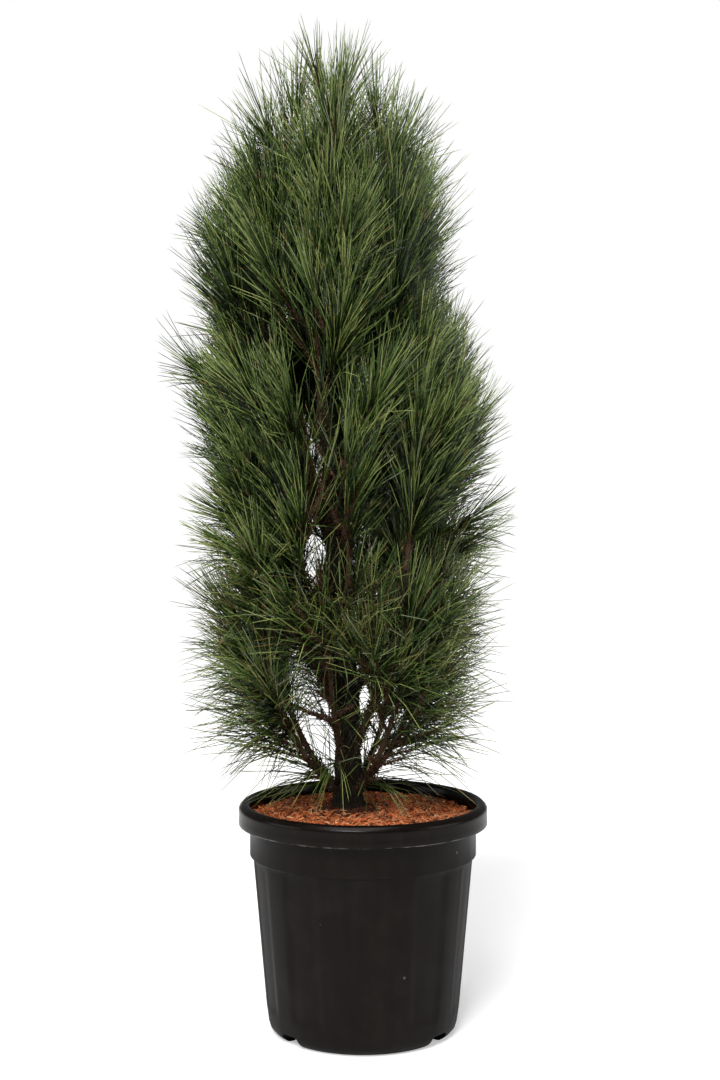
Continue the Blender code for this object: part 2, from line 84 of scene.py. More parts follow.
# Pot
WALL = 0.003
LIP_DEPTH = 0.034
EDGE_HEIGHT = POT_HIGH.z - LIP_DEPTH + 0.0007  # of the lip's lower edge, where a thin highlight is painted
BAND_RADIUS = 0.1822
BAND_BOTTOM = 0.280
BODY_TOP_RADIUS = 0.1762
BODY_FOOT_RADIUS = 0.1550
BODY_FOOT_HEIGHT = 0.042
CORNER_RADIUS = 0.1516
CORNER_HEIGHT = 0.018
FOOT_RADIUS = 0.134
FOOT_WIDTH = 0.010
BASE_RISE = 0.018
PAD_RADIUS = 0.045
PROFILE_STEP = 0.008  # longest stretch between the rings of the wall
SHARP_FROM = 40  # degrees between faces that meet in an edge
FLUTES = 10
FLUTE_TOP = 0.268
FLUTE_BOTTOM = 0.050
FLUTE_FADE = 0.012
FLUTE_WIDE, FLUTE_SOFT = 0.55, 0.9  # how wide the panels are in a wave round the pot, and how soft
FRONT = -90
FLUTE_TURN = 2
NOTCH_TURNS = (53.0, 181.5, -50.0)  # of each notch, to the right of the front
NOTCH_WIDTH = 0.040
NOTCH_HEIGHT = 0.0175
NOTCH_REACH = 0.040
NOTCH_ROUND = 0.008
NOTCH_INWARD = 0.006  # how far each block reaches in past the foot ring
NICKS = ((9, 0.0012), (14, 0.0018), (17, 0.0014), (22, 0.0010), (-31, 0.0008))  # degrees, depth
NICK_WIDTH, NICK_REACH = 1.6, 0.0030  # in degrees, and up from the lip's lower edge
STREAK_STRETCH = (1.0, 1.0, 0.06)  # how the plastic's streaks are drawn out upwards
STREAK_SHADES = (0.72, 1.5)  # of the plastic's colour, in and between the streaks
# The plastic's dust and pale specks, and the colour of the highlight painted on the lip's lower edge
DUST, SPECK, EDGE_HIGHLIGHT = (0.075, 0.066, 0.058), (0.16, 0.14, 0.12), (0.150, 0.135, 0.125)

# Mulch
MIX_FLAT_RADIUS = 0.075
MIX_EDGE = 0.345
MIX_RADIUS = 0.1778
MIX_GAP, MIX_FOOT_GAP = 0.0046, 0.0076  # from the pot's outside to the mix, and at its foot
BED_BELOW = 0.002  # how far the bed lies under the solid's top, to leave room for the chips
BED_RELIEF, BED_GRAIN = 0.0026, 0.016  # height and size of the bed's bumps
BED_RINGS, BED_SIDES, BED_STEP = 46, 140, 0.02
BED_SEAM, BED_UPPER = 0.006, 0.004  # under the mix's edge: where its side starts, and its upper side
CHIP_LIMIT = 0.173  # radius that the chips are strewn to
STREWN_SIDES, STREWN_CUTS = 64, 11  # of the surface that they are strewn on
CHIP_LIFT = 0.0010
HEAP = 0.006  # how high the mulch is heaped round the trunk's foot
HEAP_RADIUS = 0.050
SHADE_REACH = 0.060  # from the trunk's middle, where the chips are painted dark as shade round the trunk's foot
SHADE_EDGE = (0.55, 1.0)  # shares of that reach, between which a chip's shade ends
CHIP_SHAPES = (  # width and thickness against the length, and bend
    (0.16, 0.06, 0.00), (0.10, 0.06, 0.10), (0.07, 0.06, -0.12), (0.24, 0.05, 0.05), (0.06, 0.05, 0.18),
)
CHIP_RINGS = ((-0.5, 0.45), (0.0, 1.0), (0.5, 0.30))  # place along a chip and its width there
CHIP_SKEW = 0.12
CHIP_SIZES = (0.35, 1.30)  # least and most, against a middling chip
CHIP_TURNS = ((-0.95, -0.72, 0.0), (0.95, 0.60, 2.0 * math.pi))  # least and most, about X, Y and Z
CHIP_FINISH = {"roughness": 0.85, "specular": 0.3}
BED_DARK, BED_LIGHT = (0.050, 0.018, 0.008), (0.21, 0.078, 0.030)

# Trunk
TRUNK_X = -0.024
LEAN = -0.026
LEAN_FROM, LEAN_TO = 0.42, 0.98
TRUNK_RADIUS = 0.0206  # under the bark's plates
TRUNK_TIP_RADIUS = 0.0060
TRUNK_TAPER = 1.35
FLARE = 0.007
FLARE_HEIGHT = 0.020
COLLAR = 0.10  # how much the trunk swells where a bough leaves it
COLLAR_RISE, COLLAR_HEIGHT = 0.008, 0.016
LEADER_TIP = 1.505
PLATE_STRETCH = (1.0, 1.0, 0.42)  # how the bark's plates are drawn out upwards
# Colours of furrows, plates and lichen
TRUNK_BARK = (0.003, 0.002, 0.001), (0.017, 0.012, 0.006), (0.030, 0.023, 0.012)
BOUGH_BARK = (0.010, 0.006, 0.004), (0.054, 0.030, 0.018), (0.078, 0.054, 0.034)

# Boughs: each leaves the trunk at foot and sweeps upright. Its foliage starts at entry.
Bough = namedtuple("Bough", "name azimuth foot entry tip spread sweep girth")
BOUGHS = (
    Bough("low_left", 205, 0.366, 0.440, 0.760, 0.176, 2.6, 0.0092),
    Bough("low_front", 250, 0.400, 0.500, 0.740, 0.104, 2.4, 0.0070),
    Bough("low_right_front", 312, 0.366, 0.430, 0.690, 0.162, 2.2, 0.0076),
    Bough("low_right", 358, 0.366, 0.450, 0.800, 0.170, 2.4, 0.0088),
    Bough("low_back_right", 50, 0.366, 0.445, 0.770, 0.166, 2.4, 0.0080),
    Bough("low_back", 104, 0.372, 0.460, 0.780, 0.158, 2.4, 0.0075),
    Bough("low_back_left", 156, 0.366, 0.440, 0.760, 0.176, 2.4, 0.0080),
    Bough("mid_left", 182, 0.500, 0.700, 1.090, 0.198, 2.0, 0.0078),
    Bough("mid_left_front", 228, 0.470, 0.680, 1.040, 0.162, 2.3, 0.0080),
    Bough("mid_front", 274, 0.560, 0.720, 1.030, 0.130, 2.4, 0.0066),
    Bough("mid_right_front", 318, 0.420, 0.745, 1.090, 0.154, 2.4, 0.0085),
    Bough("mid_right", 6, 0.520, 0.710, 1.090, 0.174, 2.2, 0.0078),
    Bough("mid_back_right", 56, 0.500, 0.690, 1.080, 0.170, 2.3, 0.0078),
    Bough("mid_back", 98, 0.540, 0.700, 1.060, 0.158, 2.3, 0.0075),
    Bough("mid_back_left", 140, 0.510, 0.690, 1.080, 0.174, 2.3, 0.0078),
    Bough("high_front", 254, 0.760, 0.975, 1.270, 0.124, 2.3, 0.0064),
    Bough("high_left", 202, 0.770, 1.000, 1.370, 0.150, 2.3, 0.0065),
    Bough("high_right_front", 314, 0.750, 0.985, 1.340, 0.142, 2.3, 0.0065),
    Bough("high_right", 14, 0.780, 1.010, 1.390, 0.144, 2.3, 0.0062),
    Bough("high_back_right", 74, 0.790, 0.990, 1.350, 0.136, 2.3, 0.0062),
    Bough("high_back_left", 136, 0.780, 0.990, 1.360, 0.146, 2.3, 0.0062),
    Bough("top_left", 170, 1.070, 1.235, 1.485, 0.084, 2.2, 0.0052),
    Bough("top_front", 268, 1.060, 1.200, 1.455, 0.084, 2.2, 0.0052),
    Bough("top_right", 350, 1.080, 1.220, 1.465, 0.104, 2.0, 0.0052),
    Bough("top_back", 84, 1.070, 1.210, 1.450, 0.086, 2.2, 0.0052),
)
BOUGH_SLIM = 0.76  # girth under the bark's plates, against the solid's
SADDLE, SADDLE_REACH = 0.25, 0.12  # how much thicker a bough is on the trunk, and how far along
BOUGH_TAPER = 0.8
BOUGH_RELIEF, BOUGH_PLATE = 0.6, 0.55  # against the trunk's
TRUNK_STEP, BOUGH_STEP = 0.0026, 0.0035  # between the rings of their bark
BOUGH_RINGS = 12  # fewest on a bough
ENTRY_RADIUS = 0.0045
TIP_RADIUS = 0.0022  # of a stem where its last needles stand

# Shoots and needles: the rule that the solids follow, carried to finer twigs
STEM_DRAW = 0.78  # how far a stem drifts outward past its entry, against the solids' line
STEM_STEPS = 26  # points of a stem's line
LIMB_STEPS, STUB_LIMB_STEPS = 12, 14  # of a low bough's, and of a bough's that has stubs
ROOM_STEM_STEPS, ROOM_LIMB_STEPS = 7, 5  # of both where only the room round them is measured
SHOOTS_FROM, SHOOTS_TO = 0.02, 0.80  # shares of a stem that its side shoots stand between
SHOOT_LENGTHS = (0.85, 1.1)  # least and most, against the tier's reach
SHOOT_TAPER = 0.45  # how much shorter the shoots are at a stem's tip than at its foot
SHOOT_BEND = 0.40  # share of a shoot below its bend
SHOOT_STEPS = 9  # points of a shoot's line
SHOOT_TRIES = 6  # places tried for a shoot, each turned on by the next row and a little shorter
TRY_TURNS = (0.7, 1.6)
TRY_SHORTER = 0.93
SHOOT_FOOT = 3  # first points of a shoot's line, which may lie near its stem
SHOOT_MINGLE = 0.025  # how far a shoot may reach into the next mass
SHOOT_AIR = 0.004  # between a shoot and a limb
SHOOT_INSIDE = 0.05  # of the crown's outline, at a shoot's tip
FEWEST_PAIRS = 4  # of needles on a shoot
TOP_SLIM = 0.6  # girth of the stems in the top tier, against the others
TWIGLETS = ((0.22, 0.42), (0.45, 0.66))  # where on a shoot each twiglet starts, least and most
TWIGLET_TURNS = (0.7, 1.4)  # away from its shoot's own
TWIGLET_SHARE = 0.55  # of the shoot's length
PLUME_LEAN, PLUME_UPRIGHT = 64, 0.25
LIMB_PAIRS = 46  # of old needles along each of the lowest boughs
SKIRT = ((-0.9, 0.02), (0.0, 0.0), (0.9, 0.05), (0.3, 0.14))  # turn and share of each low side twig
SKIRT_PAIRS = 15
SKIRT_LENGTH = 0.100
SKIRT_LENGTHS = (0.7, 1.1)  # least and most, against that
SKIRT_LEAN, SKIRT_UPRIGHT = 72, 0.12
# Short shoots low on the boughs, whose needles hang over the lip: bough, azimuth, height on the
# bough and pairs
FANS = (
    ("low_left", 212, 0.040, 24), ("low_front", 248, 0.034, 20), ("low_right_front", 312, 0.040, 24),
    ("low_right", 346, 0.036, 16), ("low_back_left", 150, 0.030, 8), ("low_back_right", 40, 0.030, 8),
)
FAN_LENGTH = 0.030
FAN_LEAN = 84
FAN_DROOP = 0.40
DROOP_FALL = 0.8  # how much of a fan's droop pulls its needles down from the start
DROOP_PLAY = (0.4, 1.4)

# Kinds of shoot: radius at root and tip, the needles' length against the longest, how far they
# spread, and the share of the shoot below them. Side shoots and twiglets spread against their tier.
Kind = namedtuple("Kind", "girth tip_girth length spread start")
SIDE_SHOOT = Kind(0.0026, 0.0015, 0.98, -4, 0.16)
TWIGLET = Kind(0.0019, 0.0012, 0.92, -8, 0.12)
PLUME = Kind(0.0026, 0.0015, 1.0, 30, 0.1)
OLD_LIMB = Kind(0.0, 0.0, 1.0, 86, 0.25)
SKIRT_TWIG = Kind(0.0022, 0.0013, 1.02, 64, 0.25)
FAN = Kind(0.0018, 0.0012, 1.0, 50, 0.3)

# How the needles of a spray differ, and how they stand
SPREAD_TIP = 13  # degrees from the shoot's line at its tip
ANGLE_PLAY = 7  # degrees that a shoot's lean varies by
NEEDLE_PLAY = 11  # and a needle's spread
TURN_PLAY = 0.3
GOLDEN_ANGLE = math.radians(137.508)
PAIR_ANGLE = 3.6  # degrees between a needle and its pair's middle line
PAIR_PLAY = 1.6
PAIR_LENGTHS = (0.62, 1.06)  # least and most, against the shoot's needles
TWIN_LENGTHS = (0.94, 1.0)  # of each needle against its pair
NEW_SAG = 0.25  # share of its sag that the newest needle has
SAG_PLAY = (0.2, 1.2)
LAX_SAG = (0.10, 0.36)  # more sag of a lax needle, least and most
LAX_NEW = 0.4  # how lax the newest needles are, against the oldest at 1.4
CROOK, LAX_CROOK = 0.08, 0.16  # sideways bend of a needle, and more of a lax one
CROOK_TURNS = 6.283  # radians
LOW_NEEDLE_SHADE = (1.2, 0.55)  # how fast needles towards a shoot's foot turn deep green, as painted shade inside the plume, and what is taken off
DRY_NEW, DRY_OLD = 0.03, 0.09  # shares of needles with a dry tip: the newest, and more of the oldest
MINGLE_FOOT, MINGLE_TIP = 0.012, 0.050  # how far a needle may reach into the next mass
NEEDLE_AIR = 0.002  # between a needle and a limb
LIP_MARGIN = 0.030
NEEDLE_RINGS = ((0.0, 0.85), (0.52, 1.0), (0.91, 0.66))  # share along a needle and width there
TIPPED_RINGS = ((0.0, 0.85), (0.50, 1.0), (0.87, 0.70))  # the same where the tip is dry
NEEDLE_STEPS = (0.2, 0.4, 0.6, 0.8, 1.0)  # shares of a needle where its room is measured
SEED = 11

# Stubs of shed needles
STUB_LENGTHS = (0.0032, 0.0064)
STUB_RADIUS = 0.0011
STUB_RINGS = ((0.0, 1.0), (0.6, 0.9))  # share along it and width
STUB_LEAN = 44
STUB_SEAT = 0.86  # where they stand, as a share of the limb's radius
STUB_REACH = 0.9  # share of a shoot that has them
STUBS_APART = 0.0021  # along a shoot
TWIG_BARK, STUB_BARK = (0.074, 0.038, 0.021), (0.105, 0.046, 0.022)
LIMB_STUBS_APART = (0.0011, 0.0013)  # along a bough, in two rows

# Outline of the crown where it is dense: height, half-width, and how far right its middle is
CROWN_OUTLINE = (
    (0.36, 0.190, -0.034), (0.42, 0.232, -0.040), (0.46, 0.246, -0.036), (0.53, 0.226, -0.032),
    (0.60, 0.238, -0.036), (0.75, 0.236, -0.032), (0.82, 0.252, -0.024), (0.86, 0.254, -0.022),
    (0.91, 0.236, -0.038), (0.97, 0.258, -0.026), (1.03, 0.246, -0.040), (1.09, 0.226, -0.056),
    (1.18, 0.226, -0.064), (1.27, 0.225, -0.071), (1.36, 0.192, -0.058),
    (1.43, 0.176, -0.036), (1.48, 0.160, -0.042), (1.52, 0.118, -0.060), (1.56, 0.082, -0.068),
    (1.59, 0.044, -0.072), (1.61, 0.0, -0.072),
)
WAVES, WAVE_SIZE = 0.030, 0.075  # depth and size of the swells between the plumes
WAVE_TALL = 1.6  # how much taller than wide the swells are
OVER_TOP = 4.0  # how fast the outline closes over the crown's top
FURTHEST = ((-0.335, -0.268, 0.0), (0.252, 0.276, 1.629))  # where the last needle tips may reach
OUTLINE_AT = 0.72  # where along a needle it must lie inside that outline
RAGGED = ((0.42, 0.026), (0.60, 0.019), (1.20, 0.019), (1.40, 0.022), (1.55, 0.026))
RAGGED_MOST = 0.060
TURNS_UP = 4  # times that a needle past the outline is turned up, shortened and straightened
TURN_RISE, TURN_SHORTER, TURN_STRAIGHTER = 0.18, 0.93, 0.85
TURNS_FROM, TURNS_FULL = 0.46, 0.66  # heights between which needles start to turn up
BULGES = {"mid_left": (0.075, 1.0), "low_left": (0.014, 0.0), "high_left": (0.032, 0.0)}
# Plumes that stand out of the crown: mass, share of its stem, azimuth, length, pairs, their length
SIDE_PLUMES = (
    ("mid_left", 0.82, 184, 0.085, 48, 0.98),
    ("low_left", 0.97, 186, 0.050, 76, 0.86),
    ("low_right", 0.97, 354, 0.052, 56, 0.90),
    ("low_right", 0.86, 350, 0.044, 44, 0.84),
    ("mid_left", 0.25, 186, 0.040, 34, 0.86),
    ("high_left", 0.62, 188, 0.040, 44, 0.86),
)
THINNED = {"low_front": 0.50, "low_right_front": 0.75, "mid_front": 0.50}
BARE = {"low_front": 0.30, "mid_front": 0.12}  # share of a stem below its first needles
BARE_FOOT = 0.10  # the same of all other stems

# Share of the needles that grow at each height: few on the last growth, at the top
FULLNESS = ((1.30, 1.0), (1.38, 0.66), (1.45, 0.34), (1.52, 0.20), (1.58, 0.21), (1.64, 0.26))

# Gaps between the plumes, seen from the front: middle X and Z on the axis, half-width and
# half-height, the share of needles that still cross it, and how far back it is open. Those that
# are open to the back show the sky, and the others the shade inside the crown.
GAPS = (
    (-0.0726, 0.794, 0.006, 0.024, 0.12, 1.0),
    (-0.0810, 0.758, 0.014, 0.036, 0.10, 1.0),
    (-0.0920, 0.722, 0.009, 0.024, 0.25, 1.0),
    (-0.0758, 0.728, 0.004, 0.016, 0.40, 1.0),
    (-0.0370, 0.752, 0.022, 0.058, 0.30, -0.02),
    (-0.077, 0.903, 0.004, 0.020, 0.15, 1.0), (-0.013, 0.850, 0.004, 0.010, 0.2, 1.0),
    (-0.130, 1.156, 0.010, 0.016, 0.15, 1.0), (0.001, 0.560, 0.006, 0.048, 0.12, 1.0),
    (-0.062, 0.470, 0.016, 0.075, 0.60, 1.0), (0.034, 0.470, 0.018, 0.075, 0.52, 1.0),
    (0.020, 0.700, 0.004, 0.016, 0.2, 1.0), (-0.066, 0.930, 0.036, 0.140, 0.12, -0.03),
    (-0.090, 1.090, 0.034, 0.080, 0.22, -0.03), (-0.146, 1.170, 0.040, 0.060, 0.40, -0.02),
)

# Tiers of the crown: how the shoots stand, how needles spread and hang, and each tint's share
TINTS = ("deep", "mid", "fresh", "bright", "grey", "olive", "straw")
BASE_TINTS = (0, 0, 1, 2, 1, 0, 5)  # the tint one step darker, by tint: for the painted shade of a needle's inner half and of shaded masses
SHADED = 0.72  # share of needles whose inner half is a tint darker, as painted shade inside the plumes
OUTER_HALF, DRY_END = 0.5, 0.9  # shares of a needle where its outer half and its dry tip start
Tier = namedtuple("Tier", "shoots reach lean upright spread lift push sag lax thins density tints")
TIERS = {
    "low": Tier(
        6, 0.190, 46, 0.9, 72, 0.08, 0.34, 0.24, 0.44, 0.10, 0.61,
        (0.09, 0.21, 0.25, 0.12, 0.08, 0.15, 0.10),
    ),
    "mid": Tier(
        5, 0.235, 36, 1.2, 42, 0.18, 0.34, 0.07, 0.06, 0.30, 1.17,
        (0.20, 0.29, 0.28, 0.16, 0.03, 0.04, 0.0),
    ),
    "high": Tier(
        5, 0.225, 34, 1.3, 40, 0.20, 0.30, 0.06, 0.05, 0.35, 1.15,
        (0.19, 0.28, 0.28, 0.18, 0.05, 0.02, 0.0),
    ),
    "top": Tier(
        5, 0.135, 30, 1.2, 38, 0.18, 0.22, 0.05, 0.04, 0.50, 0.66,
        (0.06, 0.18, 0.30, 0.26, 0.18, 0.02, 0.0),
    ),
}
PUSH_FROM = 0.06  # distance from the trunk where needles are drawn outward in full
OWN_TINT = 0.22  # share of a spray's needles that have its tint
FAN_TINT = TINTS.index("fresh")
# Share of the needles that are a tint darker, as painted shade on the masses where the crown lies in deeper
# shade
MASS_SHADE = {
    "high_left": 0.35, "high_right_front": 0.50, "high_right": 0.30, "mid_left_front": 0.15,
    "low_front": 0.15, "low_right_front": 0.10,
}

# Stage
LAMPS = (  # name, place, size and power
    ("top", (-0.3, -0.9, 4.0), 2.4, 75.0),
    ("left", (-3.2, -0.6, 1.6), 2.0, 20.0),
    ("right", (3.2, -0.6, 1.6), 2.0, 24.0),
)
LAMPS_AIM = 0.8  # height that they look at
SUN_STRENGTH, SUN_WIDTH = 2.6, 20  # the width is in degrees
SUN_WAY = (0.22, 0.80, -0.78)
WHITE = (1.0, 1.0, 1.0, 1.0)
FLOOR_SIZE, FLOOR_COLOUR = 40.0, (0.88, 0.88, 0.88, 1.0)
FLOOR_GLOW = 0.42  # what the camera sees of the floor, over its lit colour
SURROUNDINGS_LIGHT = 0.15
VIEW_SHIFT = -0.100  # share of the picture's height that the view is moved down
AIM_X = -0.0048  # where the camera looks, left of the pot's axis
SENSOR_WIDTH = 36.0  # in millimetres


class PotSettings(bpy.types.PropertyGroup):
    """Size and finish of the pot."""

    lip_radius: FloatProperty(
        name="Lip radius",
        description="Outer radius of the pot's rolled lip",
        default=POT_HIGH.x,
        unit="LENGTH",
    )
    height: FloatProperty(
        name="Height",
        description="Height of the pot over its lip",
        default=POT_HIGH.z,
        unit="LENGTH",
    )
    flute_depth: FloatProperty(
        name="Flute depth",
        description="Depth of the upright panels pressed into the body",
        default=0.0026,
        unit="LENGTH",
    )
    sides: IntProperty(name="Sides", description="Steps round the pot", default=240, min=36)
    colour: FloatVectorProperty(
        name="Plastic",
        description="Colour of the pot's plastic",
        default=(0.0054, 0.0034, 0.0025),
        subtype="COLOR",
    )


class MulchSettings(bpy.types.PropertyGroup):
    """The bark mulch on the pot's soil."""

    chips: IntProperty(name="Chips", description="Chips strewn on the bed", default=8600, min=0)
    chip_length: FloatProperty(
        name="Chip length",
        description="Length of a middling chip",
        default=0.0165,
        unit="LENGTH",
    )
    seed: IntProperty(name="Seed", description="Seed of the strewing", default=4)


class BarkSettings(bpy.types.PropertyGroup):
    """Relief of the bark on trunk and boughs."""

    relief: FloatProperty(
        name="Relief",
        description="Depth of the furrows between the trunk's bark plates",
        default=0.0014,
        unit="LENGTH",
    )
    plate: FloatProperty(
        name="Plate size",
        description="Width of a bark plate on the trunk",
        default=0.0085,
        unit="LENGTH",
    )


class NeedleSettings(bpy.types.PropertyGroup):
    """Needles of the whole crown."""

    length: FloatProperty(
        name="Length",
        description="Length of the longest needles",
        default=0.138,
        unit="LENGTH",
    )
    radius: FloatProperty(
        name="Radius",
        description="Half the width of a needle",
        default=0.00075,
        unit="LENGTH",
    )
    stem_pairs: IntProperty(
        name="Pairs on a stem", description="Pairs of needles on each mass's stem", default=235
    )
    shoot_pairs: IntProperty(
        name="Pairs on a shoot", description="Pairs of needles on each side shoot", default=130
    )
    twiglet_pairs: IntProperty(
        name="Pairs on a twiglet", description="Pairs of needles on each twiglet", default=42
    )


class StageSettings(bpy.types.PropertyGroup):
    """Camera and light of the picture."""

    distance: FloatProperty(
        name="Camera distance",
        description="From the pot's axis to the camera",
        default=3.0,
        unit="LENGTH",
    )
    eye: FloatProperty(
        name="Camera height",
        description="Height of the camera above the floor",
        default=0.96,
        unit="LENGTH",
    )
    lens: FloatProperty(name="Lens", description="Focal length, in millimetres", default=62.0)
    light: FloatProperty(name="Light", description="Strength of all lamps", default=1.0)


class Nodes:
    """A node tree, with short ways to add what the trees of this scene are made of."""

    def __init__(self, tree):
        self.tree = tree

    @classmethod
    def group(cls, name, kind, inputs, outputs):
        """A new tree and its inputs. A socket is a name, a kind and, where it has one, a value."""
        made = cls(bpy.data.node_groups.new(name, f"{kind}NodeTree"))
        for way, sockets in (("INPUT", inputs), ("OUTPUT", outputs)):
            for label, socket, *value in sockets:
                new = made.tree.interface.new_socket(label, in_out=way, socket_type=f"NodeSocket{socket}")
                if value:
                    new.default_value = value[0]
        return made, made.add("NodeGroupInput").outputs

    @classmethod
    def geometry(cls, name, inputs, materials):
        """A Geometry Nodes tree that takes and gives a shape, with an input for each material."""
        shape = ("Geometry", "Geometry")
        paints = [(label, "Material") for label in materials]
        return cls.group(name, "Geometry", (shape, *inputs, *paints), (shape,))

    def add(self, kind, feeds=None, **settings):
        """A node with its settings and inputs. An input given a socket is linked to it."""
        node = self.tree.nodes.new(kind)
        for name, value in settings.items():
            setattr(node, name, value)
        for name, value in (feeds or {}).items():
            self.feed(node.inputs[name], value)
        return node

    def feed(self, socket, value):
        """Link an input to another socket, or give it a value."""
        if isinstance(value, bpy.types.NodeSocket):
            self.tree.links.new(value, socket)
        else:
            socket.default_value = value

    def get(self, kind, feeds=None, output=0, **settings):
        """One output of a new node."""
        return self.add(kind, feeds, **settings).outputs[output]

    def maths(self, operation, *values, **settings):
        """What a sum of one or two numbers gives."""
        return self.get("ShaderNodeMath", dict(enumerate(values)), operation=operation, **settings)

    def vector(self, operation, vector, other):
        """A vector scaled by a number, or multiplied by or measured from another."""
        second = "Scale" if operation == "SCALE" else 1
        output = "Value" if operation == "DISTANCE" else 0
        return self.get("ShaderNodeVectorMath", {0: vector, second: other}, output, operation=operation)

    def ranged(self, value, low, high, to_low=0.0, to_high=1.0, **settings):
        """A value moved from one range to another, and held inside it."""
        feeds = {"Value": value, "From Min": low, "From Max": high, "To Min": to_low, "To Max": to_high}
        return self.get("ShaderNodeMapRange", feeds, **settings)

    def cloud(self, place, scale, detail, roughness=0.5):
        """Soft noise over the surface."""
        feeds = {"Vector": place, "Scale": scale, "Detail": detail, "Roughness": roughness}
        return self.get("ShaderNodeTexNoise", feeds)

    def furrows(self, place, scale):
        """How far each place is from the nearest furrow between bark plates."""
        feeds = {"Vector": place, "Scale": scale}
        return self.get("ShaderNodeTexVoronoi", feeds, "Distance", feature="DISTANCE_TO_EDGE")

    def attribute(self, name, kind="FLOAT"):
        """What the shape's points carry under a name."""
        return self.get("GeometryNodeInputNamedAttribute", {"Name": name}, data_type=kind)

    def random(self, kind, least, most, seed):
        """A random value for each point."""
        at = ("FLOAT_VECTOR", "FLOAT", "INT").index(kind)
        feeds = {2 * at: least, 2 * at + 1: most, "Seed": seed}
        return self.get("FunctionNodeRandomValue", feeds, at, data_type=kind)

    def compare(self, kind, operation, first, second):
        """Whether a number is equal to or greater than another."""
        feeds = {2: first, 3: second} if kind == "INT" else {0: first, 1: second}
        return self.get("FunctionNodeCompare", feeds, data_type=kind, operation=operation)

    def switch(self, chosen, no, yes):
        """One of two whole numbers."""
        feeds = {"Switch": chosen, "False": no, "True": yes}
        return self.get("GeometryNodeSwitch", feeds, input_type="INT")

    def painted(self, shape, chosen, material):
        """The shape, with the material where chosen is true."""
        feeds = {"Geometry": shape, "Selection": chosen, "Material": material}
        return self.get("GeometryNodeSetMaterial", feeds)

    def object_place(self):
        """Object coordinates."""
        return self.get("ShaderNodeTexCoord", output="Object")

    def blend(self, share, first, second):
        """Two colours mixed by a share. Each is a colour or a socket."""
        mixed = self.add("ShaderNodeMix", data_type="RGBA")
        for at, value in ((0, share), (6, first), (7, second)):
            self.feed(mixed.inputs[at], (*value, 1.0) if isinstance(value, tuple) else value)
        return mixed.outputs[2]

    def bump(self, height, strength, distance):
        """A normal that stands in for fine relief."""
        return self.get("ShaderNodeBump", {"Height": height, "Strength": strength, "Distance": distance})

    def weathering(self, patch, speck, patches, specks):
        """The shared dust and specks, at this material's own sizes and amounts."""
        group = bpy.data.node_groups.get("Weathering") or weathering_tree()
        feeds = {"Patch size": patch, "Speck size": speck, "Patches": patches, "Specks": specks}
        return self.add("ShaderNodeGroup", feeds, node_tree=group).outputs


def linked(name, data):
    """An object with this mesh or lamp, in the scene."""
    made = bpy.data.objects.new(name, data)
    bpy.context.scene.collection.objects.link(made)
    return made


def new_mesh(name, points, edges=(), faces=()):
    """A mesh of these points, edges and faces."""
    mesh = bpy.data.meshes.new(name)
    mesh.from_pydata(points, edges, faces)
    mesh.update()
    return mesh


def mesh_of(name, made):
    """The mesh of a finished bmesh."""
    mesh = bpy.data.meshes.new(name)
    made.to_mesh(mesh)
    made.free()
    return mesh


def band(low, high, sides):
    """The faces between two rings of points, each given by its first point."""
    after = [(side + 1) % sides for side in range(sides)]
    return [(low + i, low + after[i], high + after[i], high + i) for i in range(sides)]


def store(mesh, name, kind, values):
    """Let each point of a mesh carry a value that a tree reads."""
    types = {"FLOAT": np.float32, "FLOAT_VECTOR": np.float32, "INT": np.int32, "BOOLEAN": bool}
    field = "vector" if kind == "FLOAT_VECTOR" else "value"
    made = mesh.attributes.new(name, kind, "POINT")
    made.data.foreach_set(field, np.asarray(values).astype(types[kind]).ravel())


def evaluated_mesh(source, name):
    """The plain mesh that an object's modifiers give. The source object is removed."""
    graph = bpy.context.evaluated_depsgraph_get()
    mesh = bpy.data.meshes.new_from_object(source.evaluated_get(graph))
    mesh.name = name
    source.modifiers.clear()
    bpy.data.objects.remove(source, do_unlink=True)
    return mesh


def grown(name, source_mesh, tree, values):
    """The mesh that a Geometry Nodes tree makes from a source mesh."""
    source = linked(f"{name}_source", source_mesh)
    modifier = source.modifiers.new(tree.name, "NODES")
    modifier.node_group = tree
    sockets = {
        item.name: item.identifier
        for item in tree.interface.items_tree
        if item.item_type == "SOCKET" and item.in_out == "INPUT"
    }
    for label, value in values.items():
        modifier[sockets[label]] = value
    mesh = evaluated_mesh(source, name)
    if not mesh.polygons:
        raise RuntimeError(f"{tree.name} made nothing for {name}")
    return mesh


def settle(piece, slot, *nodes):
    """Give a finished piece to the pot's body, and hide the solids that it stands for. Its slot is not
    used.
    """
    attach(piece, BODY)
    if nodes:
        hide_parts(*nodes)
    return piece


def ease(share):
    """A smooth step from 0 to 1, for a number or an array."""
    share = np.clip(share, 0.0, 1.0)
    return share * share * (3.0 - 2.0 * share)


def arc(middle, radius, start, end, steps):
    """Points of an arc in the profile's plane, as radius and height. Angles are in degrees."""
    turns = np.radians(np.linspace(start, end, steps))
    return [(middle[0] + radius * math.cos(t), middle[1] + radius * math.sin(t)) for t in turns]


